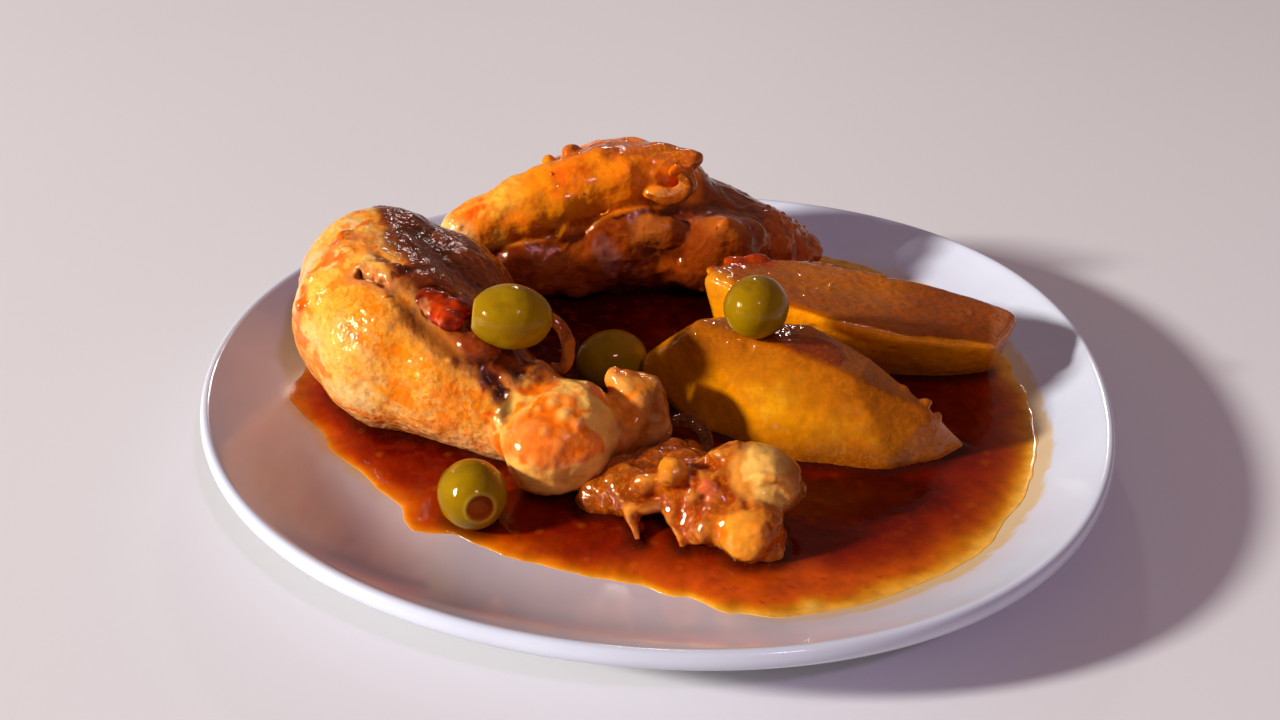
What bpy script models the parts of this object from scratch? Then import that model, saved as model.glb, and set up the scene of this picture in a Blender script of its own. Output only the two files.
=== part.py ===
"""A plate of chicken fricassee: a drumstick, its torn knuckle and a thigh in tomato sauce, with two potato
wedges, four pitted olives and a few scraps of onion and tomato, on a coupe plate.

Sizes are in millimetres and are scaled to metres as each mesh is made. +Z is up and -Y faces the diner. While
the pieces are made, the origin is on the table under the middle of the plate's foot. At the end everything is
moved so that the middle of the plate's outline is there instead.
"""

import math

import bmesh
import bpy
from mathutils import Euler, Matrix, Vector

MM = 0.001
GAP = 0.4  # between the food and the plate
CUT_GAP = 0.5  # between a piece and the one that is cut to fit it

# Plate
PLATE_R = 132.5
RIM_Z = 21.0
WELL_R = 80.0
WELL_Z = 6.0
WALL_POWER = 2.2  # how sharply the wall curls up from the flat well to the lip
LIP_WIDTH = 3.2
WALL_THICK = 4.0
FOOT_R = 75.0
FOOT_WIDTH = 5.0
FOOT_Z = 2.2
PLATE_STEPS = 60
WALL_STEPS = 6
# The plate is a little out of round: (lobes, share of the radius, direction of one lobe in degrees)
OUT_OF_ROUND = ((3, 0.020, 42.8), (4, 0.013, 42.5))

# Sauce
SAUCE_Z = 11.2
SAUCE_EDGE = 0.7
SAUCE_GAP = 0.45
SAUCE_STEPS = 56
# The puddle's outline: (direction in degrees, radius)
SAUCE_OUTLINE = (
    (-178, 109), (-163, 98), (-150, 91), (-141, 90), (-134, 94), (-127, 88), (-113, 87), (-103, 88),
    (-94, 90), (-87, 95), (-81, 104), (-75, 110), (-65, 112), (-50, 113), (-35, 111), (-20, 109),
    (0, 108), (25, 111), (55, 113), (90, 112), (125, 112), (155, 113),
)
# The front left of the puddle is a thin film: where it is thinnest, and how far that reaches, in degrees
THIN_DIRECTION = -125.0
THIN_REACH = 75.0
THIN_Z = 7.9
THIN_R = (35.0, 80.0)  # the level falls between these radii

# How finely each fleshy piece is made: (voxel, rounds of smoothing, faces, faces of its cutter)
FLESH = {
    "drumstick": (1.6, 6, 1750, 1000),
    "knuckle": (1.1, 4, 1000, 2000),
    "thigh": (1.6, 6, 1950, 1000),
}
CUTTER_VOXEL = 1.1
FLESH_EXTRA = 0.2  # a fleshy piece's cutter is this much larger, as it is the rougher copy

# Olives: (name, centre, length, radius, yaw and pitch of the end with the hole)
OLIVES = (
    ("olive_on_drumstick", (-41, -31, 50), 24, 9.6, 190, 5),
    ("olive_on_potato", (25, -21, 49), 21, 9.2, 60, -20),
    ("olive_in_front", (-49, -65, 16.2), 21, 9.4, -70, 8),
    ("olive_in_gap", (-15, 6, 17), 23, 9.6, 20, 0),
)
OLIVE_TURNS = 15
OLIVE_STEPS = 6
PIT_R = 0.33  # share of the olive's radius
PIT_DEPTH = 0.42  # share of its length

# Onion strips: (name, width, thickness, points that the strip passes)
ONIONS = (
    (
        "onion_on_hock", 4.5, 2.0,
        ((-33, -23, 47), (-28, -25, 44), (-26, -27, 39), (-27, -30, 34), (-31, -30, 34)),
    ),
    ("onion_in_gap", 5.0, 2.0, ((2, -38, 22), (8, -36, 21), (12, -40, 17), (8, -46, 12))),
    ("onion_on_thigh", 3.5, 2.5, ((-5, 58, 50), (0, 55.5, 48), (6, 55.5, 49), (9, 57, 53), (5, 58.5, 56))),
)
ONION_STEPS = 10
ONION_TURNS = 8
ONION_FACES = Vector((0.3, -0.9, 0.5))  # the flat side of each strip looks about this way

# Where two pieces press together, the second is cut to fit the first
TOUCHING = (
    ("olive_on_drumstick", "drumstick"),
    ("tomato_piece", "drumstick"),
    ("olive_on_potato", "potato_front"),
    ("potato_front", "olive_in_gap"),
    ("olive_on_drumstick", "onion_on_hock"),
)


def smooth_step(t):
    t = min(max(t, 0.0), 1.0)
    return t * t * (3 - 2 * t)


# Surfaces of the plate and the sauce


def roundness(angle):
    """How far out the rim lies in this direction, as a share of the plate's radius."""
    lobes = (share * math.cos(n * (angle - math.radians(turn))) for n, share, turn in OUT_OF_ROUND)
    return 1 + sum(lobes)


def out_of_round(radius, angle):
    """The factor that shapes the plate here: the foot is round, the rim is not."""
    return 1 + (roundness(angle) - 1) * smooth_step((radius - FOOT_R) / (PLATE_R - FOOT_R))


def wall_z(radius):
    """Height of the plate's upper face, for a radius on the round plate."""
    reach = max(radius - WELL_R, 0.0) / (PLATE_R - LIP_WIDTH - WELL_R)
    return WELL_Z + (RIM_Z - 0.6 - WELL_Z) * reach**WALL_POWER


def floor_z(x, y):
    """Height of the plate's upper face under this point."""
    here = math.hypot(x, y)
    radius = here
    for _ in range(4):
        radius = here / out_of_round(radius, math.atan2(y, x))
    return wall_z(radius)


def outline_radius(angle):
    """The puddle's radius, eased between the points of its outline."""
    degrees = math.degrees(angle) % 360
    table = sorted((a % 360, r) for a, r in SAUCE_OUTLINE)
    table = [(table[-1][0] - 360, table[-1][1]), *table, (table[0][0] + 360, table[0][1])]
    for (a0, r0), (a1, r1) in zip(table, table[1:]):
        if a0 <= degrees <= a1:
            return r0 + (r1 - r0) * smooth_step((degrees - a0) / (a1 - a0))
    return table[-1][1]


def sauce_level(radius, angle):
    """Height of the sauce: level, but thinning to a film at the front left."""
    away = abs((math.degrees(angle) - THIN_DIRECTION + 180) % 360 - 180)
    thin = 1 - smooth_step(away / THIN_REACH)
    inner, outer = THIN_R
    return SAUCE_Z + (THIN_Z - SAUCE_Z) * thin * smooth_step((radius - inner) / (outer - inner))


# Objects


def clear_scene():
    for obj in list(bpy.data.objects):
        bpy.data.objects.remove(obj)


def material(name, colour, roughness):
    made = bpy.data.materials.new(name)
    made.use_nodes = True
    shader = made.node_tree.nodes["Principled BSDF"]
    shader.inputs["Base Color"].default_value = (*colour, 1.0)
    shader.inputs["Roughness"].default_value = roughness
    shader.inputs["Metallic"].default_value = 0.0
    return made


def add_object(name, shape, finish=None):
    """Turns a bmesh in millimetres into an object in metres. One with no finish is a helper."""
    bmesh.ops.scale(shape, vec=(MM, MM, MM), verts=shape.verts)
    bmesh.ops.recalc_face_normals(shape, faces=shape.faces)
    mesh = bpy.data.meshes.new(name)
    shape.to_mesh(mesh)
    shape.free()
    obj = bpy.data.objects.new(name, mesh)
    bpy.context.scene.collection.objects.link(obj)
    if finish:
        mesh.materials.append(finish)
    else:
        make_helper(obj)
    return obj


def make_helper(obj):
    obj.hide_render = True
    obj.display_type = "WIRE"


def place(obj, centre, yaw, pitch):
    """Moves an object made along +X to its centre, and points it along yaw and up by pitch, in degrees."""
    obj.location = Vector(centre) * MM
    obj.rotation_euler = (0, -math.radians(pitch), math.radians(yaw))


def apply_modifiers(obj):
    bpy.context.view_layer.update()
    graph = bpy.context.evaluated_depsgraph_get()
    mesh = bpy.data.meshes.new_from_object(obj.evaluated_get(graph))
    obj.modifiers.clear()
    old = obj.data
    obj.data = mesh
    bpy.data.meshes.remove(old)
    mesh.name = obj.name


def cut(obj, cutter):
    difference = obj.modifiers.new("Cut", "BOOLEAN")
    difference.operation = "DIFFERENCE"
    difference.object = cutter
    difference.solver = "EXACT"
    apply_modifiers(obj)


def fuse(obj, voxel):
    """Makes one closed surface of overlapping shapes."""
    remesh = obj.modifiers.new("Fuse", "REMESH")
    remesh.mode = "VOXEL"
    remesh.voxel_size = voxel * MM
    apply_modifiers(obj)


def thin_out(obj, faces):
    """Brings a mesh down to about this many triangles."""
    obj.data.calc_loop_triangles()
    fewer = obj.modifiers.new("Fewer", "DECIMATE")
    fewer.ratio = min(1.0, faces / len(obj.data.loop_triangles))
    apply_modifiers(obj)


def soften(obj, voxel, rounds, faces, tears=None):
    """Fuses overlapping shapes, cuts the tears, rounds every joint and thins the mesh out."""
    fuse(obj, voxel)
    if tears:
        fuse(tears, voxel)
        cut(obj, tears)
        fuse(obj, voxel)
        bpy.data.objects.remove(tears)
    smooth = obj.modifiers.new("Smooth", "SMOOTH")
    smooth.factor = 0.5
    smooth.iterations = rounds
    apply_modifiers(obj)
    thin_out(obj, faces)


def cut_to_fit(obj, other):
    """Cuts away from an object what lies in or close to the other one."""
    cutter = other.copy()
    cutter.data = other.data.copy()
    cutter.name = other.name + "_cutter"
    make_helper(cutter)
    bpy.context.scene.collection.objects.link(cutter)
    swell = cutter.modifiers.new("Swell", "DISPLACE")
    swell.mid_level = 0.0
    swell.strength = CUT_GAP * MM
    if other.name in FLESH:
        # A swollen crease crosses itself, so it is fused again
        swell.strength += FLESH_EXTRA * MM
        fuse(cutter, CUTTER_VOXEL)
        thin_out(cutter, FLESH[other.name][3])
    else:
        apply_modifiers(cutter)
    cut(obj, cutter)
    bpy.data.objects.remove(cutter)


# Mesh shapes, in millimetres


def join_rings(shape, rings):
    """Joins each ring of vertices to the next one."""
    for lower, upper in zip(rings, rings[1:]):
        for i in range(len(lower)):
            j = (i + 1) % len(lower)
            shape.faces.new((lower[i], lower[j], upper[j], upper[i]))


def close_ends(shape, rings):
    shape.faces.new(rings[0])
    shape.faces.new(rings[-1][::-1])


def plate_rings(shape, section):
    """Turns a section of (radius, height) into rings that follow the plate's outline."""
    angles = [2 * math.pi * k / PLATE_STEPS for k in range(PLATE_STEPS)]
    rings = []
    for radius, z in section:
        reaches = [(radius * out_of_round(radius, angle), angle) for angle in angles]
        rings.append([shape.verts.new((r * math.cos(a), r * math.sin(a), z)) for r, a in reaches])
    return rings


def ellipsoid(shape, centre, radii, yaw=0.0, pitch=0.0):
    """Its first radius points along yaw, and rises by pitch, both in degrees."""
    turn = Euler((0, -math.radians(pitch), math.radians(yaw))).to_matrix().to_4x4()
    matrix = Matrix.Translation(centre) @ turn @ Matrix.Diagonal((*radii, 1))
    bmesh.ops.create_icosphere(shape, subdivisions=4, radius=1, matrix=matrix)


def limb(shape, start, end, start_r, end_r):
    """A tapered limb, as overlapping balls along a line."""
    start, end = Vector(start), Vector(end)
    steps = max(2, round((end - start).length / (0.3 * min(start_r, end_r))))
    for i in range(steps + 1):
        share = i / steps
        radius = start_r + (end_r - start_r) * share
        matrix = Matrix.Translation(start.lerp(end, share))
        bmesh.ops.create_icosphere(shape, subdivisions=3, radius=radius, matrix=matrix)


def wedge(corners):
    """A potato wedge: the hull of balls at its corners, each given as (x, y, z, radius)."""
    shape = bmesh.new()
    for x, y, z, radius in corners:
        matrix = Matrix.Translation((x, y, z))
        bmesh.ops.create_icosphere(shape, subdivisions=2, radius=radius, matrix=matrix)
    hull = bmesh.ops.convex_hull(shape, input=shape.verts)
    bmesh.ops.delete(shape, geom=hull["geom_interior"] + hull["geom_unused"], context="VERTS")
    return shape


def curve_point(points, share):
    """A point of the smooth curve through these points, which are spaced evenly along it."""
    points = [Vector(p) for p in points]
    points = [2 * points[0] - points[1], *points, 2 * points[-1] - points[-2]]
    reach = share * (len(points) - 3)
    i = min(int(reach), len(points) - 4)
    t = reach - i
    a, b, c, d = points[i : i + 4]
    linear, square, cube = c - a, 2 * a - 5 * b + 4 * c - d, 3 * b - a - 3 * c + d
    return 0.5 * (2 * b + linear * t + square * t**2 + cube * t**3)


# The pieces


def make_plate(finish):
    """The section runs out along the upper face, over the lip, and back underneath to the foot."""
    lip = PLATE_R - LIP_WIDTH
    radii = [WELL_R + (lip - WELL_R) * i / WALL_STEPS for i in range(WALL_STEPS + 1)]
    upper = [(radius, wall_z(radius)) for radius in radii]
    edge = [
        (PLATE_R - 1.4, RIM_Z),
        (PLATE_R - 0.3, RIM_Z - 1.2),
        (PLATE_R, RIM_Z - 2.6),
        (PLATE_R - 0.6, RIM_Z - 4.2),
        (PLATE_R - 2.4, RIM_Z - 5.6),
    ]
    radii = [FOOT_R + (PLATE_R - 4 - FOOT_R) * share for share in (0.75, 0.5, 0.25)]
    under = [(radius, wall_z(radius) - WALL_THICK) for radius in radii]
    foot = [
        (FOOT_R + 1.5, FOOT_Z),
        (FOOT_R, 0.0),
        (FOOT_R - FOOT_WIDTH, 0.0),
        (FOOT_R - FOOT_WIDTH - 1.2, FOOT_Z),
    ]
    shape = bmesh.new()
    rings = plate_rings(shape, upper + edge + under + foot)
    join_rings(shape, rings)
    close_ends(shape, rings)
    return add_object("plate", shape, finish)


def make_under_plate():
    """A cutter that fills everything up to a gap above the plate's upper face."""
    steps = 2 * WALL_STEPS
    lip = PLATE_R - LIP_WIDTH
    radii = [WELL_R + (lip - WELL_R) * i / steps for i in range(steps + 1)]
    section = [(radius, wall_z(radius) + GAP) for radius in radii]
    section.append((lip, -RIM_Z))
    shape = bmesh.new()
    rings = plate_rings(shape, section)
    join_rings(shape, rings)
    close_ends(shape, rings)
    return add_object("under_plate", shape)


def drumstick_shape():
    shape = bmesh.new()
    ellipsoid(shape, (-84, 17, 34), (25, 26, 25))
    ellipsoid(shape, (-82, 0, 33), (25, 27, 26))
    ellipsoid(shape, (-74, -13, 32), (25, 25, 25))
    # The muscle on the far side
    ellipsoid(shape, (-66, 12, 32), (28, 20, 22), yaw=-40, pitch=-8)
    limb(shape, (-76, -8, 32), (-58, -24, 29), 25, 20)
    limb(shape, (-58, -24, 29), (-44, -32, 23), 20, 15)
    limb(shape, (-44, -32, 23), (-34, -36, 20), 15, 12)
    # The hock's two smooth heads
    ellipsoid(shape, (-30, -50, 20), (13, 13, 14))
    ellipsoid(shape, (-26, -39, 26), (9, 9, 9))
    limb(shape, (-28, -44, 20), (-12, -39, 19), 9, 9)
    ellipsoid(shape, (-7, -32, 26), (8, 8, 9))
    ellipsoid(shape, (-13, -30, 33), (4, 4, 5))
    return shape


def drumstick_tears():
    """The torn place high on the drumstick, with its crease running on towards the tomato."""
    shape = bmesh.new()
    limb(shape, (-86, -9, 60), (-77, -15, 56), 3.0, 3.6)
    limb(shape, (-77, -15, 56), (-68, -13, 56), 2.6, 2.0)
    return shape


def knuckle_shape():
    shape = bmesh.new()
    ellipsoid(shape, (26, -66, 21), (10, 9, 9))
    ellipsoid(shape, (20, -64, 22), (10, 9, 9))
    ellipsoid(shape, (22, -79, 15), (9, 8, 9))
    ellipsoid(shape, (15, -72, 15), (10, 9, 9))
    ellipsoid(shape, (7, -62, 16), (12, 9, 9))
    ellipsoid(shape, (2, -67, 25), (4, 4, 4))
    ellipsoid(shape, (-8, -60, 15), (9, 8, 8))
    limb(shape, (-8, -58, 13), (-18, -60, 10), 6, 5)
    # Torn tendons that hang into the sauce
    limb(shape, (-9, -66, 15), (-6, -76, 9), 3.4, 2.0)
    limb(shape, (2, -70, 15), (5, -79, 10), 3.2, 2.2)
    return shape


def thigh_shape():
    shape = bmesh.new()
    ellipsoid(shape, (-12, 80, 27), (48, 26, 22), yaw=4)
    ellipsoid(shape, (-13, 77, 41), (30, 19, 19), yaw=6)
    ellipsoid(shape, (27, 78, 22), (23, 17, 17), yaw=12, pitch=-8)
    ellipsoid(shape, (-40, 66, 24), (18, 15, 16), yaw=10)
    # The flap of skin that is folded over the top
    limb(shape, (-65, 57, 36), (-48, 60, 42), 8, 10.5)
    limb(shape, (-48, 60, 42), (-22, 66, 50), 10.5, 12)
    limb(shape, (-22, 66, 50), (0, 70, 54), 12, 9)
    ellipsoid(shape, (8, 67, 58), (5, 5, 5))
    # The slab at the front
    ellipsoid(shape, (18, 60, 28), (15, 9, 14), yaw=8)
    # The pulp at the right
    ellipsoid(shape, (45, 86, 18), (11, 10, 9))
    ellipsoid(shape, (44, 77, 26), (5, 4, 4))
    ellipsoid(shape, (53, 80, 19), (4, 4, 4))
    return shape


def thigh_creases():
    """The fold under the flap of skin and the gaps between the muscles of the front."""
    shape = bmesh.new()
    limb(shape, (-52, 47, 30), (-22, 50, 37), 3.0, 3.0)
    limb(shape, (-22, 50, 37), (4, 56, 46), 3.0, 2.6)
    limb(shape, (4, 56, 46), (14, 62, 54), 2.6, 2.2)
    limb(shape, (-18, 52, 34), (-12, 50, 14), 2.2, 3.0)
    limb(shape, (36, 62, 36), (36, 66, 18), 2.4, 2.8)
    return shape


def potato_front_shape():
    """The upper corners come first, from left to right, and then those at the base."""
    return wedge((
        (1, -2, 18, 8), (13, -13, 34, 7), (22, -8, 34, 5), (34, -26, 36, 5), (40, -17, 37, 4),
        (52, -33, 30, 5), (56, -24, 32, 3), (71, -34, 23, 3), (74, -36, 13, 4), (81, -31, 11, 3),
        (14, -20, 14, 6), (36, -33, 14, 8), (60, -37, 13, 8), (30, -4, 12, 6), (62, -18, 12, 6),
    ))


def potato_back_shape():
    """The corners go round the flat cut face on top, and then along the rounded side underneath."""
    return wedge((
        (21, 27, 37, 3), (39, 30, 37, 3), (66, 26, 34, 3), (88, 20, 31, 3), (104, 12, 29, 2),
        (96, -2, 27, 2), (70, -6, 32, 2), (48, -4, 36, 2), (32, 3, 37, 3), (16, 18, 37, 4),
        (24, 20, 22, 8), (45, 17, 15, 8), (64, 16, 13, 6), (84, 13, 13, 5), (98, 13, 14, 4),
    ))


def tomato_shape():
    """A piece of cooked tomato, sunk a little into the skin of the drumstick."""
    shape = bmesh.new()
    ellipsoid(shape, (-61, -24, 48), (8, 5, 5), yaw=-60, pitch=-20)
    ellipsoid(shape, (-58.4, -29, 46), (4.5, 4, 4), yaw=-30)
    return shape


def make_olive(name, length, radius, finish):
    """A pitted olive: an oval turned round +X, with the hole that the pit left in that end."""
    half = length / 2
    hole_r = PIT_R * radius
    mouth = math.asin((hole_r + 1.6) / radius)
    section = [(hole_r * 0.8, half - PIT_DEPTH * length), (hole_r, half - 0.8), (hole_r + 0.7, half - 0.1)]
    section.append((radius * math.sin(mouth), half))
    for i in range(1, OLIVE_STEPS):
        angle = mouth + (math.pi - mouth) * i / OLIVE_STEPS
        section.append((radius * math.sin(angle), half * math.cos(angle)))
    angles = [2 * math.pi * k / OLIVE_TURNS for k in range(OLIVE_TURNS)]
    shape = bmesh.new()
    rings = [[shape.verts.new((x, r * math.cos(a), r * math.sin(a))) for a in angles] for r, x in section]
    join_rings(shape, rings)
    shape.faces.new(rings[0])
    tip = shape.verts.new((-half, 0, 0))
    for k in range(OLIVE_TURNS):
        shape.faces.new((rings[-1][k], rings[-1][(k + 1) % OLIVE_TURNS], tip))
    return add_object(name, shape, finish)


def make_onion(name, width, thickness, points, finish):
    """A strip of onion: a flat oval, swept along a curve and narrowed at its ends."""
    shape = bmesh.new()
    rings = []
    for i in range(ONION_STEPS + 1):
        share = i / ONION_STEPS
        ahead, behind = curve_point(points, min(share + 0.01, 1)), curve_point(points, max(share - 0.01, 0))
        along = (ahead - behind).normalized()
        side = along.cross(ONION_FACES).normalized()
        face = along.cross(side)
        reach = width / 2 * (0.45 + 0.55 * math.sin(math.pi * (0.12 + 0.76 * share)) ** 0.7)
        ring = []
        for k in range(ONION_TURNS):
            angle = 2 * math.pi * k / ONION_TURNS
            offset = side * reach * math.cos(angle) + face * thickness / 2 * math.sin(angle)
            ring.append(shape.verts.new(curve_point(points, share) + offset))
        rings.append(ring)
    join_rings(shape, rings)
    close_ends(shape, rings)
    return add_object(name, shape, finish)


def make_sauce(finish):
    """The puddle, before the food is cut out: its bottom follows the plate, and its edge is rounded."""
    shape = bmesh.new()

    def ring(height, inset=0.0, share=1.0):
        made = []
        for k in range(SAUCE_STEPS):
            angle = 2 * math.pi * k / SAUCE_STEPS
            radius = outline_radius(angle) * share - inset
            x, y = radius * math.cos(angle), radius * math.sin(angle)
            made.append(shape.verts.new((x, y, height(floor_z(x, y) + SAUCE_GAP, radius, angle))))
        return made

    def bottom(floor, radius, angle):
        return floor

    def edge(floor, radius, angle):
        return floor + SAUCE_EDGE / 2

    def top(floor, radius, angle):
        return max(sauce_level(radius, angle), floor + SAUCE_EDGE)

    rings = [ring(bottom, share=share) for share in (0.5, 0.72, 0.86, 0.94)]
    rings += [ring(bottom, inset=0.5), ring(edge)]
    rings += [ring(top, inset=inset) for inset in (0.6, 4.0, 10.0)]
    rings.append(ring(top, share=0.6))
    join_rings(shape, rings)
    close_ends(shape, rings)
    return add_object("sauce", shape, finish)


def make_food():
    """Every piece of food by name, in the order in which they are made."""
    meat = material("chicken", (0.72, 0.38, 0.16), 0.35)
    potato = material("potato", (0.76, 0.47, 0.07), 0.35)
    green = material("olive", (0.36, 0.35, 0.04), 0.22)
    red = material("tomato", (0.42, 0.03, 0.01), 0.2)
    onion = material("onion", (0.62, 0.30, 0.10), 0.2)
    food = {}
    for name, shape, tears in (
        ("drumstick", drumstick_shape(), drumstick_tears()),
        ("knuckle", knuckle_shape(), None),
        ("thigh", thigh_shape(), thigh_creases()),
    ):
        voxel, rounds, faces, _ = FLESH[name]
        food[name] = add_object(name, shape, meat)
        soften(food[name], voxel, rounds, faces, tears and add_object(name + "_tears", tears))
    for name, shape in (("potato_front", potato_front_shape()), ("potato_back", potato_back_shape())):
        food[name] = add_object(name, shape, potato)
        soften(food[name], voxel=1.4, rounds=2, faces=480)
    for name, centre, length, radius, yaw, pitch in OLIVES:
        food[name] = make_olive(name, length, radius, green)
        place(food[name], centre, yaw, pitch)
    food["tomato_piece"] = add_object("tomato_piece", tomato_shape(), red)
    soften(food["tomato_piece"], voxel=0.9, rounds=3, faces=200)
    for name, width, thickness, points in ONIONS:
        food[name] = make_onion(name, width, thickness, points, onion)
    return food


def centre_on(plate):
    """Moves everything so that the middle of the plate's outline stands over the origin."""
    for axis in (0, 1):
        reach = [vertex.co[axis] for vertex in plate.data.vertices]
        middle = (max(reach) + min(reach)) / 2
        for obj in bpy.context.scene.objects:
            obj.location[axis] -= middle


def main():
    clear_scene()
    plate = make_plate(material("plate_glaze", (0.80, 0.83, 0.90), 0.15))
    under_plate = make_under_plate()
    food = make_food()
    for first, second in TOUCHING:
        cut_to_fit(food[second], food[first])
    sauce = make_sauce(material("tomato_sauce", (0.45, 0.10, 0.02), 0.12))
    for obj in food.values():
        cut(obj, under_plate)
        cut_to_fit(sauce, obj)
    centre_on(plate)
    for obj in (plate, sauce, *food.values()):
        obj.data.shade_smooth()
        obj.data.set_sharp_from_angle(angle=math.radians(50))


main()
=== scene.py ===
import math
from functools import reduce

import bmesh
import bpy
import numpy as np
from mathutils import Euler, Matrix, Vector
from mathutils.bvhtree import BVHTree


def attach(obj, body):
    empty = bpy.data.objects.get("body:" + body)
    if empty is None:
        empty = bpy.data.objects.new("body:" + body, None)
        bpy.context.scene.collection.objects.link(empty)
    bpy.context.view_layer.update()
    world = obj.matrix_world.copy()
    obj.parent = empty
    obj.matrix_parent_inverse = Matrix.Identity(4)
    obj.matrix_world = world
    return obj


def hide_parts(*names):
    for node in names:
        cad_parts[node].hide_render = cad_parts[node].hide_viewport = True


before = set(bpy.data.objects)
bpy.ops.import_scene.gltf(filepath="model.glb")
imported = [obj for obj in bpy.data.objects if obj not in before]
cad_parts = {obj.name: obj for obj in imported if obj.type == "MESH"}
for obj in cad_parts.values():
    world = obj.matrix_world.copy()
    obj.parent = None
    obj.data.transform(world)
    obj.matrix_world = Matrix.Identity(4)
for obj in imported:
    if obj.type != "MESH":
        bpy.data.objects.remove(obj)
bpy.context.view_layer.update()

MM = 0.001

# The plate and the puddle, in millimetres. They repeat the sizes of the CAD source.
CENTRE = np.array((1.5, 2.1))  # the middle of the plate's foot
PLATE_R = 132.5
RIM_Z = 21.0
WELL_R = 80.0
WELL_Z = 6.0
WALL_POWER = 2.2
LIP_WIDTH = 3.2
WALL_THICK = 4.0
FOOT_R = 75.0
FOOT_WIDTH = 5.0
FOOT_Z = 2.2
OUT_OF_ROUND = ((3, 0.02, 42.8), (4, 0.013, 42.5))
SAUCE_Z = 11.2
SAUCE_OUTLINE = (
    (-178, 109), (-163, 98), (-150, 91), (-141, 90), (-134, 94), (-127, 88), (-113, 87), (-103, 88),
    (-94, 90), (-87, 95), (-81, 104), (-75, 110), (-65, 112), (-50, 113), (-35, 111), (-20, 109),
    (0, 108), (25, 111), (55, 113), (90, 112), (125, 112), (155, 113),
)
THIN_DIRECTION = -125.0
THIN_REACH = 75.0
THIN_Z = 7.9
THIN_R = (35.0, 80.0)


# Numbers. Wherever points are measured, they are in millimetres.


def smooth_step(t):
    t = np.clip(t, 0.0, 1.0)
    return t * t * (3 - 2 * t)


def ramp(value, low, high):
    """0 at low and 1 at high, eased between them. low may be the larger one."""
    return smooth_step((value - low) / (high - low))


def hashed(cells, seed):
    """A fixed number from 0 to 1 for each cell of whole numbers."""
    x, y, z = (cells[..., i].astype(np.uint64) for i in range(3))
    bits = x * np.uint64(374761393) + y * np.uint64(668265263) + z * np.uint64(2246822519)
    bits = (bits + np.uint64(seed * 974634777 + 12345)) & np.uint64(0xFFFFFFFF)
    for shift, factor in ((15, 2246822519), (13, 3266489917)):
        bits = ((bits ^ (bits >> np.uint64(shift))) * np.uint64(factor)) & np.uint64(0xFFFFFFFF)
    return ((bits ^ (bits >> np.uint64(16))) & np.uint64(0xFFFFFF)).astype(float) / 0xFFFFFF


def one_noise(points, seed):
    base = np.floor(points)
    t = points - base
    t = t * t * (3 - 2 * t)
    total = 0.0
    for corner in np.ndindex(2, 2, 2):
        weight = np.prod(np.where(np.array(corner), t, 1 - t), axis=-1)
        total = total + weight * hashed(base.astype(np.int64) + np.array(corner), seed)
    return 2 * total - 1


def noise(points, size, seed, octaves=2):
    """Smooth noise from about -1 to 1. size is that of its lumps, one number or one for each axis."""
    total, share = 0.0, 0.0
    for octave in range(octaves):
        weight = 0.5**octave
        total = total + weight * one_noise(points / np.array(size) * 2**octave, seed + octave)
        share += weight
    return total / share * 1.5


def blots(points, size, seed, low, high, octaves=3):
    """Patches of this size: 0 where their noise is below low and 1 above high."""
    return ramp(noise(points, size, seed, octaves), low, high)


def grains(points, size, seed):
    """For grains strewn at random: how far each point is from the nearest one, in sizes, and its number."""
    scaled = points / np.array(size)
    base = np.floor(scaled)
    nearest = np.full(len(points), 9.0)
    number = np.zeros(len(points))
    for step in np.ndindex(3, 3, 3):
        cell = base + np.array(step) - 1
        index = cell.astype(np.int64)
        centre = cell + np.stack([hashed(index, seed + k) for k in range(3)], -1)
        away = np.linalg.norm(scaled - centre, axis=-1)
        closer = away < nearest
        nearest = np.where(closer, away, nearest)
        number = np.where(closer, hashed(index, seed + 7), number)
    return nearest, number


def dots(points, size, seed, edge, middle, above=-1.0):
    """Grains as shares: 0 beyond their edge, 1 in their middle, and only those whose number is above this."""
    nearest, number = grains(points, size, seed)
    return ramp(nearest, edge, middle) * (number > above)


def warp(points, size, amount, seed):
    """The points moved about at random, so that what is measured from them gets an uneven edge."""
    return points + amount * np.stack([noise(points, size, seed + 31 * k) for k in range(3)], -1)


def path_distance(points, path):
    """How far each point is from a line through the path's points."""
    best = np.full(len(points), 1e9)
    path = [np.array(p, float) for p in path]
    for start, end in zip(path, path[1:]):
        along = end - start
        share = np.clip((points - start) @ along / (along @ along), 0, 1)
        best = np.minimum(best, np.linalg.norm(points - start - share[:, None] * along, axis=1))
    return best


def near(points, place, reach, edge=0.5):
    """1 close to a point or path, falling to 0 at its reach. edge is the share of the reach that it takes."""
    if np.ndim(place) == 1:
        away = np.linalg.norm(points - np.array(place, float), axis=1)
    else:
        away = path_distance(points, place)
    return ramp(away, reach, reach * (1 - edge))


def ragged(points, unevenness, place, reach, edge=0.5):
    """The same with an uneven edge. unevenness is the size, amount and seed of its warp."""
    return near(warp(points, *unevenness), place, reach, edge)


def side(points, start, normal, width):
    """0 on one side of a plane and 1 on the side that its normal points to."""
    normal = np.array(normal, float)
    away = (points - np.array(start, float)) @ (normal / np.linalg.norm(normal))
    return ramp(away, -width / 2, width / 2)


def turned(points, forward):
    """The points measured along a direction, across it and up from it, so that noise can be drawn out along it."""
    forward = np.array(forward, float) / np.linalg.norm(forward)
    across = np.cross((0, 0, 1), forward)
    across /= np.linalg.norm(across)
    return points @ np.stack([forward, across, np.cross(forward, across)], 1)


def degrees_from(degrees, direction):
    return np.abs((degrees - direction + 180) % 360 - 180)


def most(*shares):
    """The largest of them at every point."""
    return reduce(np.maximum, shares)


def toward(points, others, share):
    """The points moved this share of the way to others."""
    return points + share[:, None] * (others - points)


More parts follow.
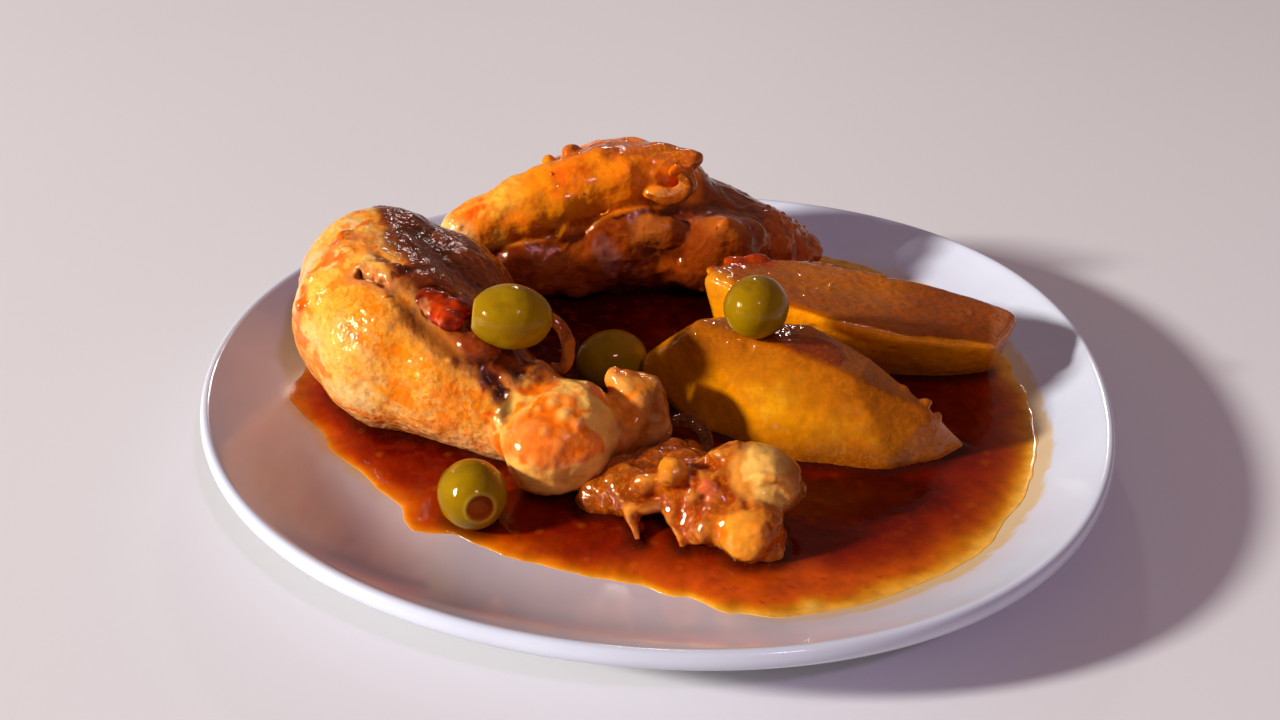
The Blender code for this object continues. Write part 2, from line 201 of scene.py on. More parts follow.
def coated(paint, *coats):
    """A colour or paint with others laid over it in turn. Each coat is a colour and its share at every point."""
    for colour, share in coats:
        share = np.clip(share, 0, 1)[:, None]
        paint = np.multiply(paint, 1 - share) + np.multiply(colour, share)
    return paint


# Meshes


def linked(name, data):
    obj = bpy.data.objects.new(name, data)
    bpy.context.scene.collection.objects.link(obj)
    return obj


def new_object(name, shape):
    """Turns a bmesh in millimetres into an object in metres."""
    bmesh.ops.scale(shape, vec=(MM, MM, MM), verts=shape.verts)
    mesh = bpy.data.meshes.new(name)
    shape.to_mesh(mesh)
    shape.free()
    return linked(name, mesh)


def skin_of_rings(name, rings):
    """A closed surface through rings that have as many points each."""
    shape = bmesh.new()
    rings = [[shape.verts.new(point) for point in ring] for ring in rings]
    around = len(rings[0])
    for first, second in zip(rings, rings[1:]):
        for i in range(around):
            j = (i + 1) % around
            shape.faces.new((first[i], first[j], second[j], second[i]))
    shape.faces.new(rings[0])
    shape.faces.new(rings[-1][::-1])
    bmesh.ops.recalc_face_normals(shape, faces=shape.faces)
    return new_object(name, shape)


def modify(obj, kind, **settings):
    """Adds a modifier, applies it and keeps the object."""
    modifier = obj.modifiers.new(kind, kind)
    for key, value in settings.items():
        setattr(modifier, key, value)
    bpy.context.view_layer.update()
    graph = bpy.context.evaluated_depsgraph_get()
    mesh = bpy.data.meshes.new_from_object(obj.evaluated_get(graph))
    obj.modifiers.clear()
    old = obj.data
    obj.data = mesh
    bpy.data.meshes.remove(old)
    mesh.name = obj.name


def read_points(obj, field):
    found = np.empty(len(obj.data.vertices) * 3)
    obj.data.vertices.foreach_get(field, found)
    return found.reshape(-1, 3)


def points_of(obj):
    return read_points(obj, "co") / MM


def normals_of(obj):
    return read_points(obj, "normal")


def move_points(obj, points):
    obj.data.vertices.foreach_set("co", (points * MM).ravel())
    obj.data.update()


def raise_surface(obj, height):
    """Moves every point out along its normal, by its height."""
    move_points(obj, points_of(obj) + normals_of(obj) * height[:, None])


def evened(obj, passes):
    """The object's points after this many rounds of moving each to the middle of its neighbours."""
    count = len(obj.data.vertices)
    edges = np.empty(len(obj.data.edges) * 2, int)
    obj.data.edges.foreach_get("vertices", edges)
    first, second = edges.reshape(-1, 2).T
    degree = np.bincount(first, minlength=count) + np.bincount(second, minlength=count)
    smooth = points_of(obj)
    for _ in range(passes):
        total = [np.bincount(first, smooth[second, k], count) + np.bincount(second, smooth[first, k], count)
                 for k in range(3)]
        smooth = np.stack(total, -1) / degree[:, None]
    return smooth


HOLLOW_PASSES = 12
HOLLOW_DEPTH = 0.3


def hollows(obj):
    """1 where the surface is sunk by the depth or more, and -1 where it stands proud by it."""
    away = ((evened(obj, HOLLOW_PASSES) - points_of(obj)) * normals_of(obj)).sum(1)
    return np.clip(away / HOLLOW_DEPTH, -1, 1)


def placed(centre, yaw, pitch):
    """The matrix that turns +X along yaw, lets it rise by pitch, and moves it to a centre."""
    turn = Euler((0, -math.radians(pitch), math.radians(yaw))).to_matrix().to_4x4()
    return Matrix.Translation(centre) @ turn


def ball(shape, centre, radii, yaw=0.0, pitch=0.0, detail=3):
    matrix = placed(centre, yaw, pitch) @ Matrix.Diagonal((*radii, 1))
    bmesh.ops.create_icosphere(shape, subdivisions=detail, radius=1, matrix=matrix)


def strand(shape, path, radii):
    """Overlapping balls along a path. radii has one radius for each of the path's points."""
    path = [Vector(p) for p in path]
    for start, end, r0, r1 in zip(path, path[1:], radii, radii[1:]):
        steps = max(2, math.ceil((end - start).length / (0.35 * min(r0, r1))))
        for i in range(steps + 1):
            share = i / steps
            ball(shape, start.lerp(end, share), (r0 + (r1 - r0) * share,) * 3, detail=2)


def add_forms(shape, rows):
    """Each row is a strand, or a ball: its middle, its radius or three radii, and any yaw and pitch."""
    for row in rows:
        if len(row) == 2:
            strand(shape, *row)
        else:
            ball(shape, row[:3], row[3:] * 3 if len(row) == 4 else row[3:6], *row[6:])


def copy_of(node, sharp=None):
    """A bmesh of a CAD node, its split edges joined. Edges over sharp degrees stay crisp when it is smoothed."""
    shape = bmesh.new()
    shape.from_mesh(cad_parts[node].data)
    bmesh.ops.scale(shape, vec=(1 / MM,) * 3, verts=shape.verts)
    bmesh.ops.remove_doubles(shape, verts=shape.verts, dist=0.001)
    if sharp:
        crease = shape.edges.layers.float.new("crease_edge")
        for edge in shape.edges:
            edge[crease] = 0.8 * (edge.calc_face_angle(0.0) > math.radians(sharp))
    return shape


def hull_of(corners):
    """The hull of balls."""
    shape = bmesh.new()
    add_forms(shape, corners)
    found = bmesh.ops.convex_hull(shape, input=shape.verts)
    spare = {e for e in found["geom_interior"] + found["geom_unused"] if isinstance(e, bmesh.types.BMVert)}
    bmesh.ops.delete(shape, geom=list(spare), context="VERTS")
    return shape


def grown(name, node, forms, voxel, rounds, sharp=None, uneven=(), corners=()):
    """A fine mesh of a CAD node without its facets, with more forms grown onto it and melted together.
    voxel is the size of its faces and rounds how much they are smoothed. uneven holds (size, amount, seed) for
    each way in which it is pushed out of its regular shape. With corners, it is their hull instead of the node."""
    obj = new_object(name, hull_of(corners) if corners else copy_of(node, sharp))
    if not corners:
        modify(obj, "SUBSURF", levels=1)
    if forms:
        extra = bmesh.new()
        add_forms(extra, forms)
        bmesh.ops.scale(extra, vec=(MM, MM, MM), verts=extra.verts)
        extra.from_mesh(obj.data)
        extra.to_mesh(obj.data)
        extra.free()
    modify(obj, "REMESH", mode="VOXEL", voxel_size=voxel * MM)
    modify(obj, "SMOOTH", factor=0.5, iterations=rounds)
    for how in uneven:
        move_points(obj, warp(points_of(obj), *how))
    return obj


def finish_piece(obj, finish, slot, node, paint, **values):
    """Gives a piece its material, the colour and any other numbers of its points, and its place in the frame."""
    colours = obj.data.attributes.new("paint", "FLOAT_COLOR", "POINT")
    four = np.ones((len(paint), 4))
    four[:, :3] = np.clip(paint, 0, 1)
    colours.data.foreach_set("color", four.ravel())
    for name, value in values.items():
        attribute = obj.data.attributes.new(name, "FLOAT", "POINT")
        attribute.data.foreach_set("value", np.full(len(paint), np.clip(value, 0.0, 1.0)))
    obj.data.materials.clear()
    obj.data.materials.append(finish.material)
    obj.data.shade_smooth()
    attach(obj, "root")
    if node:
        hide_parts(node)
    return obj


# Surfaces of the plate and the sauce


def roundness(angle):
    return 1 + sum(share * np.cos(n * (angle - math.radians(turn))) for n, share, turn in OUT_OF_ROUND)


def out_of_round(radius, angle):
    return 1 + (roundness(angle) - 1) * smooth_step((radius - FOOT_R) / (PLATE_R - FOOT_R))


def wall_z(radius):
    reach = np.maximum(radius - WELL_R, 0.0) / (PLATE_R - LIP_WIDTH - WELL_R)
    return WELL_Z + (RIM_Z - 0.6 - WELL_Z) * reach**WALL_POWER


def floor_z(x, y):
    """Height of the plate's upper face, measured from the middle of its foot."""
    here = np.hypot(x, y)
    angle = np.arctan2(y, x)
    radius = here
    for _ in range(4):
        radius = here / out_of_round(radius, angle)
    return wall_z(radius)


def outline_radius(degrees):
    table = sorted((a % 360, r) for a, r in SAUCE_OUTLINE)
    table = [(table[-1][0] - 360, table[-1][1]), *table, (table[0][0] + 360, table[0][1])]
    angles, radii = np.array(table).T
    degrees = degrees % 360
    i = np.clip(np.searchsorted(angles, degrees) - 1, 0, len(angles) - 2)
    share = smooth_step((degrees - angles[i]) / (angles[i + 1] - angles[i]))
    return radii[i] + (radii[i + 1] - radii[i]) * share


def sauce_level(radius, degrees):
    thin = 1 - smooth_step(degrees_from(degrees, THIN_DIRECTION) / THIN_REACH)
    inner, outer = THIN_R
    return SAUCE_Z + (THIN_Z - SAUCE_Z) * thin * smooth_step((radius - inner) / (outer - inner))


# Materials


class Shader:
    """A Principled material that is built up from small steps."""

    def __init__(self, name, **inputs):
        self.material = bpy.data.materials.new(name)
        self.material.use_nodes = True
        self.tree = self.material.node_tree
        self.surface = self.tree.nodes["Principled BSDF"]
        self.where = self.node("ShaderNodeTexCoord").outputs["Object"]
        self.bumps = None
        for key, value in inputs.items():
            self.link(self.surface, key.replace("_", " "), value)

    def node(self, kind, links=(), **settings):
        made = self.tree.nodes.new(kind)
        for key, value in settings.items():
            setattr(made, key, value)
        for socket, value in dict(links).items():
            self.link(made, socket, value)
        return made

    def link(self, node, socket, value):
        target = node.inputs[socket]
        if isinstance(value, bpy.types.NodeSocket):
            self.tree.links.new(value, target)
        else:
            target.default_value = value

    def attribute(self, name, output="Fac"):
        return self.node("ShaderNodeAttribute", attribute_name=name).outputs[output]

    def stretched(self, scale, turn=(0, 0, 0)):
        links = {"Vector": self.where, "Scale": scale, "Rotation": turn}
        return self.node("ShaderNodeMapping", links).outputs["Vector"]

    def noise(self, size, detail=3.0, roughness=0.55, distortion=0.0, vector=None):
        """Noise with lumps of this size in mm."""
        links = {"Vector": vector or self.where, "Scale": 1000.0 / size, "Detail": detail}
        links |= {"Roughness": roughness, "Distortion": distortion}
        return self.node("ShaderNodeTexNoise", links).outputs["Fac"]

    def cells(self, size):
        """How far it is to the nearest of dots that are this size in mm apart."""
        return self.node("ShaderNodeTexVoronoi", {"Vector": self.where, "Scale": 1000.0 / size}).outputs["Distance"]

    def ramp(self, value, low, high, to_low=0.0, to_high=1.0):
        links = {"Value": value, "From Min": low, "From Max": high, "To Min": to_low, "To Max": to_high}
        return self.node("ShaderNodeMapRange", links, interpolation_type="SMOOTHSTEP").outputs["Result"]

    def times(self, first, second):
        return self.node("ShaderNodeMath", {0: first, 1: second}, operation="MULTIPLY").outputs["Value"]

    def mix(self, share, first, second, blend="MIX"):
        first, second = ((*v, 1.0) if isinstance(v, tuple) else v for v in (first, second))
        return self.node("ShaderNodeMix", data_type="RGBA", blend_type=blend,
                         links={0: share, 6: first, 7: second}).outputs[2]

    def tinted(self, shade):
        """The piece's own paint, made lighter and darker by a shade."""
        return self.mix(1.0, self.attribute("paint", "Color"), shade, "MULTIPLY")

    def bump(self, height, depth):
        """Adds relief this many mm deep."""
        links = {"Height": height, "Distance": depth * MM, "Strength": 1.0}
        if self.bumps:
            links["Normal"] = self.bumps
        self.bumps = self.node("ShaderNodeBump", links).outputs["Normal"]
        for socket in ("Normal", "Coat Normal"):
            self.link(self.surface, socket, self.bumps)

    def colour(self, value):
        self.link(self.surface, "Base Color", value)

    def roughness(self, value):
        self.link(self.surface, "Roughness", value)


WARM = (1.0, 0.62, 0.34, 1.0)
MOTTLE = 0.12


def flesh_finish(name, speck, speck_size=1.2, relief=0.08, scatter=0.12, wet_roughness=0.09, grain=None):
    """Moist food: its colour, wetness and specks come from the piece's own attributes."""
    made = Shader(name, IOR=1.42, Specular_IOR_Level=0.46, Specular_Tint=WARM, Coat_Weight=0.2, Coat_Roughness=0.02,
                  Subsurface_Weight=scatter, Subsurface_Scale=0.0016, Subsurface_Radius=(1.0, 0.3, 0.08))
    wet = made.attribute("wet")
    colour = made.tinted(made.ramp(made.noise(3.2, 5), 0.3, 0.7, 1 - MOTTLE, 1 + MOTTLE))
    fleck = made.ramp(made.noise(speck_size, 4, 0.6, 0.4), 0.5, 0.6)
    made.colour(made.mix(made.times(fleck, made.attribute("speck")), colour, speck))
    dry = made.ramp(made.noise(1.4, 3), 0.35, 0.65, 0.22, 0.38)
    slick = made.ramp(made.noise(2.5, 3), 0.35, 0.7, wet_roughness * 0.4, wet_roughness)
    made.roughness(made.node("ShaderNodeMix", {0: wet, 2: dry, 3: slick}, data_type="FLOAT").outputs[0])
    made.bump(made.noise(3.4, 1, 0.5), relief * 3.0)
    made.bump(made.times(made.noise(1.4, 2, 0.5), made.ramp(wet, 0.5, 1.0, 1.0, 0.4)), relief * 1.9)
    if grain:
        lines = made.noise(1.0, 3, 0.6, 0.6, made.stretched((0.28, 1, 1), grain))
        made.bump(made.times(lines, made.attribute("crinkle")), 0.55)
    return made


SKIN = (0.84, 0.39, 0.042)
PALE = (0.84, 0.52, 0.18)
OIL = (0.84, 0.215, 0.002)
RED = (0.8, 0.085, 0.003)
COAT = (0.17, 0.02, 0.003)
MEAT = (0.56, 0.19, 0.045)
# Broth, and painted shade on the far side of the hock
BROTH_AND_SHADE = (0.34, 0.075, 0.006)
# Sauce pooled in hollows, and the painted shade there
POOL_SHADE = (0.34, 0.045, 0.002)
# Painted shadow, for gaps, creases and folds
GAP_SHADOW = (0.04, 0.005, 0.002)
# Painted shade, for deep hollows and the lower parts
DEEP_SHADE = (0.03, 0.003, 0.001)


# The plate


GLAZE = (0.6, 0.63, 0.71)
# Painted shade for the front of the well, warm as a painted reflection of the food
PLATE_SHADE = (0.6, 0.48, 0.47)
OIL_FILM = (0.62, 0.4, 0.12)
PLATE_AROUND = 300
# The rounded lip, as distances in from the rim and down from its top
LIP_EDGE = (
    (2.3, 0.15), (1.4, 0.0), (0.75, 0.45), (0.3, 1.2), (0.05, 2.0), (0.0, 2.8), (0.15, 3.6), (0.6, 4.5),
    (1.4, 5.2), (2.6, 5.8),
)


def make_plate():
    lip = PLATE_R - LIP_WIDTH
    upper = [(r, wall_z(r)) for r in (0.5, *np.linspace(10, WELL_R, 12), *np.linspace(WELL_R, lip, 46)[1:])]
    edge = [(PLATE_R - inset, RIM_Z - drop) for inset, drop in LIP_EDGE]
    under = [(r, wall_z(r) - WALL_THICK) for r in np.linspace(PLATE_R - 5.5, FOOT_R + 4, 14)]
    inner = FOOT_R - FOOT_WIDTH
    foot = [(FOOT_R + 2.2, FOOT_Z), (FOOT_R + 1.3, 1.2), (FOOT_R + 0.9, 0.3), (FOOT_R, 0.0)]
    foot += [(inner, 0.0), (inner - 1, 0.4), (inner - 1.2, FOOT_Z)]
    foot += [(FOOT_R * share, FOOT_Z) for share in (0.7, 0.35, 0.01)]
    angle = np.arange(PLATE_AROUND) * 2 * math.pi / PLATE_AROUND
    rings = []
    for radius, z in [*upper, *edge, *under, *foot]:
        reach = radius * out_of_round(radius, angle)
        x, y = CENTRE[0] + reach * np.cos(angle), CENTRE[1] + reach * np.sin(angle)
        rings.append(zip(x, y, np.full(PLATE_AROUND, z)))
    obj = skin_of_rings("coupe_plate", rings)

    # A film of oil beyond the puddle's edge, and on the front a faint painted shade, tinted warm as a painted
    # reflection of the food
    points = points_of(obj)
    up = normals_of(obj)[:, 2] > 0
    x, y = (points[:, :2] - CENTRE).T
    degrees, radius = np.degrees(np.arctan2(y, x)), np.hypot(x, y)
    beyond = radius + 1.2 * noise(points, 5, 3, 3) - outline_radius(degrees)
    right = ramp(degrees_from(degrees, -15), 75, 45)
    left = ramp(degrees_from(degrees, -165), 30, 10)
    front = ramp(degrees_from(degrees, -100), 80, 35) * ramp(radius, lip - 2, lip - 16)
    film = most(right * ramp(beyond, 4.5, 3.5), left * ramp(beyond, 5, 0))
    paint = coated(GLAZE, (PLATE_SHADE, 0.75 * front * up), (OIL_FILM, 0.75 * film * up))

    glaze = Shader("plate_glaze", IOR=1.5)
    glaze.colour(glaze.tinted(glaze.ramp(glaze.noise(30), 0.3, 0.7, 0.94, 1.0)))
    glaze.roughness(glaze.ramp(glaze.noise(14, 5), 0.3, 0.7, 0.09, 0.17))
    glaze.bump(glaze.noise(22, 1.0), 0.12)
    glaze.bump(glaze.noise(1.6, 2.0), 0.006)
    finish_piece(obj, glaze, "plate_glaze", "plate", paint)


# The drumstick


LEG = (0.74, -0.62, -0.28)
COAT_EDGE = ((-72, -9, 56), (0.717, 0.214, 0.662))  # a point on the edge of its thick sauce, and the way across
TEAR = ((-83, -13.5, 55), (-78.5, -17, 54.5), (-73, -20, 53.5))
CREASE = ((-71, -22, 52), (-63, -30, 47), (-55, -35, 41.5), (-47, -37, 37), (-40, -41, 32.5))
# Globules of fat on the hock: where, how wide and how high
HOCK_FAT = (
    ((-27.5, -47.5, 35.5), 3.6, 1.2), ((-24.5, -51.5, 33.5), 3.8, 1.3), ((-31.5, -48.5, 33.5), 2.4, 0.9),
    ((-21, -53, 31), 3, 0.9), ((-30, -43, 36), 3, 0.9), ((-29, -55, 30), 2.2, 0.7), ((-19, -47, 32), 2.6, 0.7),
)
# Patches of sauce on the pale skin: their path and reach
SAUCE_PATCHES = (
    (((-90, 9, 57), (-92, 4, 56)), 2.8), (((-99, -5, 49), (-93, -4, 54), (-88, -4, 57)), 2.2),
    (((-101, -8, 46), (-101, -13, 41)), 4), (((-102, -12, 38), (-100, -17, 33)), 2.4),
    (((-68, -11, 56.5), (-70, -15, 55)), 3.2), (((-86, 13, 57), (-88, 16, 54)), 2.6),
    (((-45, -45.5, 29), (-43, -48, 26)), 2.6),
)
DRUMSTICK_FORMS = (
    # The shreds over the tear
    (-79.5, -11, 56.5, 3.4, 2, 1.7, 40), (-76.5, -13.5, 56.8, 3, 2, 1.6, -20),
    (-74, -16.5, 56, 2.8, 1.7, 1.4, -50), (-77, -15.8, 56, 2.2, 1.5, 1.2, 10),
    (-72, -14, 56.5, 2.4, 2, 1.4, -60), (-80.5, -8.5, 57, 2.2, 1.5, 1.2, 70),
    (-82, -12.5, 55.8, 2, 1.4, 1.1, 20), (-71, -18.5, 54.6, 1.8, 1.3, 1.1, -40),
    # Pulp that sticks to the skin
    (-90, 8.5, 56.4, 2.6, 1.7, 1.3, 30), (-97, -6, 49.8, 3, 1.5, 1.2, 20),
    (-99.5, -11, 43.5, 2.4, 1.6, 1.8, 80), (-87, -3.5, 57.2, 3, 1, 0.8, -30),
    (-68.5, -11, 55.9, 2.1, 1.7, 1.1), (-84.5, 12, 57.6, 1.8, 1.3, 1),
    # Under the tomato and the olive
    (-59, -23, 44.5, 10, 8, 4, -40), (-50, -30, 42, 8, 6, 4, -30), (-33, -31, 34, 5.5, 4.4, 3.2),
    (-36, -36, 33, 4, 3, 3),
    # The fill between the heads of the hock, two globules of fat, and the edge of the skin
    (-15, -43, 21, 9, 7.5, 9), (-19, -46, 24, 8, 7, 7), (-25, -51, 24, 8.5, 8, 8), (-20.5, -52, 20, 8, 7.5, 9),
    (-24.5, -42.5, 28.5, 7.6, 7, 6.6), (-27, -47, 26.5, 8, 7.5, 7), (-55, -37, 41, 1.4, 1.3, 1.2),
    (-42.5, -41.5, 35.5, 1.5, 1.4, 1.2), (-25, -45.5, 25.5, 15.5, 11.2, 9.6, 60, 28),
    (((-51, -31, 42), (-45, -35, 38), (-40, -37, 35), (-37, -41, 33)), (1.6, 2, 2.2, 1.6)),
    # The second head of the hock
    (-12, -31, 32.6, 3.8, 3.8, 3.6), (-5, -33, 28, 7.6, 7, 6.5), (-4, -36, 21, 8.2, 7.4, 7),
    (-3, -32, 31.5, 4.6, 4.4, 3.4), (0, -35.5, 27, 4.2, 4, 3.4), (-6, -39.5, 25.5, 3.6, 3.4, 3.2),
)


def dress_drumstick():
    obj = grown("chicken_drumstick", "drumstick", DRUMSTICK_FORMS, voxel=0.6, rounds=14)
    points = points_of(obj)
    leg = turned(points, LEG)
    lobes = side(warp(points, 6, 1.5, 12), (-43, -44, 30), (0.8, -0.6, 0.0), 3)
    points = toward(points, evened(obj, 70), 0.9 * lobes)
    points = toward(points, warp(points, 9, 1.2, 13), 0.8 * lobes)
    move_points(obj, points)
    coat = side(warp(points, 7, 2.5, 11), *COAT_EDGE, 2.5) * (1 - lobes)
    head = near(points, (-6, -33, 27), 14, 0.35) * lobes
    hock = lobes * (1 - head)
    skin = (1 - coat) * (1 - lobes)

    # Slack folds of skin, the wrinkled sauce, pores, the torn hole, the crease and the patches
    height = 0.35 * noise(leg, (14, 7, 7), 21) + 0.08 * noise(points, 3, 22)
    height += skin * 0.14 * noise(leg, (3.0, 1.6, 1.6), 23)
    wrinkle = 1 - np.abs(noise(warp(leg, 4, 1, 33), (5, 2.6, 2.6), 24))
    height += coat * (0.2 + 0.8 * np.clip(wrinkle - 0.6, 0, 1) + 0.25 * noise(points, 7, 25))
    slit = ragged(points, (3, 0.8, 27), TEAR, 1.9, 0.9)
    height -= 2.6 * slit
    height -= 1.1 * near(points, CREASE, 4.0, 1.0)
    height += head * (0.5 * dots(warp(points, 4, 1.2, 26), (5.5, 5.5, 4.2), 30, 0.8, 0.1) - 0.2)
    height += lobes * (0.4 + 0.28 * noise(points, 5, 32) + 0.1 * noise(points, 2.6, 34))
    for centre, reach, rise in HOCK_FAT:
        height += rise * near(points, centre, reach, 1.0)
    height -= skin * 0.14 * dots(points, 2.1, 28, 0.4, 0.1)
    uneven = warp(points, 3.0, 2.6, 41)
    patch = skin * most(*(near(uneven, path, reach, 0.3) for path, reach in SAUCE_PATCHES))
    height += 0.35 * patch * (0.6 + 0.6 * noise(points, 2.2, 42))
    raise_surface(obj, height)
    sunk = hollows(obj)

    x, _, z = points.T
    low = ramp(z, 30, 15)
    golden = blots(leg, (16, 9, 9), 51, -0.6, 0.5) * (1 - 0.6 * low)
    front = ((-82, -22, 50), (-70, -34, 43), (-55, -40, 37), (-45, -43, 32))
    golden = most(golden, ragged(points, (8, 3, 60), front, 13, 0.7))
    under = ((-97, -22, 38), (-88, -33, 30), (-74, -41, 23), (-60, -48, 20))
    golden *= 1 - 0.75 * ragged(points, (8, 3, 31), under, 10, 0.7)
    pale = most(
        blots(leg, (10, 5, 5), 52, 0.0, 0.7),
        ragged(points, (5, 3, 61), ((-98, -18, 36), (-92, -27, 27), (-80, -36, 22)), 8, 0.7),
        ragged(points, (5, 2, 62), ((-84, 6, 58), (-80, -2, 58)), 6, 0.6),
    )
    streak = blots(warp(leg, 3, 1, 36), (4.6, 2.4, 2.4), 53, 0.0, 0.4)
    blot = blots(warp(leg, 3, 1, 37), (7, 4, 4), 63, 0.25, 0.45, 2)
    # Painted shade along the crease below the tear
    crease_shade = ragged(points, (7, 2.5, 64), ((-69, -18, 52), (-58, -28, 47), (-47, -35, 40)), 11, 0.8)
    hot = blots(warp(points, 4, 2, 54), 7, 55, -0.35, -0.05, 2)
    hot = most(hot, ragged(points, (5, 2, 65), ((-36, -52, 28), (-30, -55, 27), (-25, -50, 30)), 8))
    hot *= 1 - 0.85 * ragged(points, (4, 2, 66), ((-31, -60, 17), (-22, -60, 17)), 7, 0.6)
    spots = near(points, HOCK_FAT[0][0], 3.2, 0.6) + near(points, HOCK_FAT[1][0], 3.2, 0.6)
    hot *= 1 - 0.6 * np.clip(spots + near(points, (-22, -40, 36), 4, 0.8), 0, 1)
    dabs = blots(points, 4, 56, -0.2, 0.2, 2) * ramp(x, -2, -8)
    paint = coated(
        SKIN,
        (PALE, 0.85 * pale),
        ((0.82, 0.52, 0.22), 0.75 * low),
        ((0.8, 0.26, 0.01), 0.75 * golden),
        (OIL, 0.85 * streak * golden),
        ((0.78, 0.16, 0.002), 0.85 * blot * (1 - 0.3 * low)),
        # A brown band along the crease: painted shade
        ((0.4, 0.11, 0.012), 0.9 * crease_shade),
        ((0.82, 0.43, 0.075), hock),
        ((0.8, 0.135, 0.0), hock * 0.97 * hot),
        (BROTH_AND_SHADE, hock * near(points, ((-36, -30, 37), (-30, -32, 36)), 8, 0.4)),
        ((0.7, 0.24, 0.015), head * 0.9),
        ((0.82, 0.18, 0.001), head * 0.9 * dabs),
        # The right and lower side of the second head painted dark: painted shade
        ((0.22, 0.042, 0.003), 0.85 * head * ramp(x + 0.3 * (30 - z), -8, 0)),
        # The right side of the hock painted brown: painted shade
        (BROTH_AND_SHADE, 0.75 * lobes * ramp(x - 0.3 * z, -23, -17) * hock),
        # Sauce pooled in the hollows, painted darker as their shade too
        (POOL_SHADE, 0.75 * sunk * (0.4 + 0.6 * lobes)),
        # Proud places painted paler: painted highlight
        (PALE, -0.25 * sunk * (1 - coat)),
        ((0.8, 0.125, 0.002), 0.92 * patch),
        (RED, 0.9 * ragged(points, (2.5, 1.5, 68), ((-45, -45.5, 30), (-43, -49, 25)), 3.0, 0.4)),
        (MEAT, near(points, TEAR, 4.5, 0.4) * 0.8),
        # Painted shadow in the torn slit under the shreds
        (GAP_SHADOW, slit),
        (COAT, coat * 0.96),
        ((0.3, 0.045, 0.004), coat * 0.55 * blots(leg, (8, 4, 4), 57, 0.0, 0.6)),
        # Painted shade in the hollows of the sauce coat
        (DEEP_SHADE, coat * 0.8 * np.clip(1.5 * sunk, 0, 1)),
        # Painted shadow along the crease and in the fold by the hock
        (GAP_SHADOW, near(points, CREASE, 3.0, 1.0) * 0.6),
        (GAP_SHADOW, ragged(points, (4, 1, 67), ((-46, -38, 36), (-41, -42, 31), (-39, -45, 27)), 3.4, 0.6) * 0.8),
    )
    wet = most(coat, patch, hock, 0.9 * head, 0.6 + 0.3 * noise(points, 6, 29))
    speck = (1 - coat) * (1 - patch) * (1 - 0.6 * lobes) * (0.3 + 0.7 * golden)
    speck *= (1 - near(points, CREASE, 6)) * (1 - 0.8 * crease_shade)
    crinkle = 0.12 * skin + 0.3 * coat
    grain = (0.28, 0, math.radians(40))
    finish = flesh_finish("chicken_skin", (0.8, 0.2, 0.002), 1.6, relief=0.17, wet_roughness=0.13, grain=grain)
    return finish_piece(obj, finish, "chicken", "drumstick", paint, wet=wet, speck=speck, crinkle=crinkle)


# The knuckle


KNUCKLE_FORMS = (
    (3.8, -66.2, 25.8, 4.2), (26, -66.5, 25.5, 6.5, 5, 5.6), (31.5, -66.5, 20.5, 5, 5, 6.4),
    (35.8, -65.5, 19.5, 2.6, 2.6, 4), (17.5, -62.5, 29.5, 4.6, 2.6, 1.9), (13, -70.5, 23, 3, 2.4, 2.4),
    (16.5, -67.5, 25.5, 2.8, 2.2, 2.2), (9, -71.5, 21, 2.8, 2.4, 2.2), (19.5, -73.5, 21.5, 2.6, 2.2, 2.2),
    (22.5, -80.5, 14.5, 7.5, 5, 6.2), (27, -80.5, 12, 4.6, 4, 4), (12.5, -76.5, 15, 4.4, 3.4, 4),
    (10.5, -66.5, 24, 4.2, 3.2, 3), (-3, -63.5, 20.5, 3.6, 3, 3), (-10, -60, 19, 4, 3.2, 2.8),
    (0, -52, 16, 9, 7, 7), (7, -54, 20, 6.5, 5, 5.5), (-8, -51, 13, 7, 6, 6), (8, -44, 14, 6, 5, 7),
    (4, -46, 17, 5, 4.5, 6), (12, -47, 15, 4, 4, 5), (-14, -56, 14, 6, 5, 5), (-9, -54, 17, 6, 5, 5),
    (-3, -68, 15.5, 4.6, 2.4, 2),
    # Membranes
    (((10, -60, 24.5), (15, -60, 28), (20, -61, 30.4), (27, -63, 29.5)), (1.3, 1.6, 1.5, 1.2)),
    (((24, -72, 26.5), (28, -71.5, 27.5), (31.5, -69, 26.5), (35, -65, 22)), (1, 1.2, 1.3, 1.2)),
)
TENDONS = (((-7.5, -64, 15), (-4.5, -74, 9)), ((3.5, -68, 15), (6.5, -77, 10)))
SEAMS = (
    ((17, -66, 31), (21, -72, 28), (22, -77, 23)), ((29, -75, 26), (31, -72, 22), (30, -73, 17)),
    ((9, -67, 26), (12, -72, 22), (9, -76, 17)), ((12, -74, 20), (18, -76.5, 20), (24, -77, 20)),
)


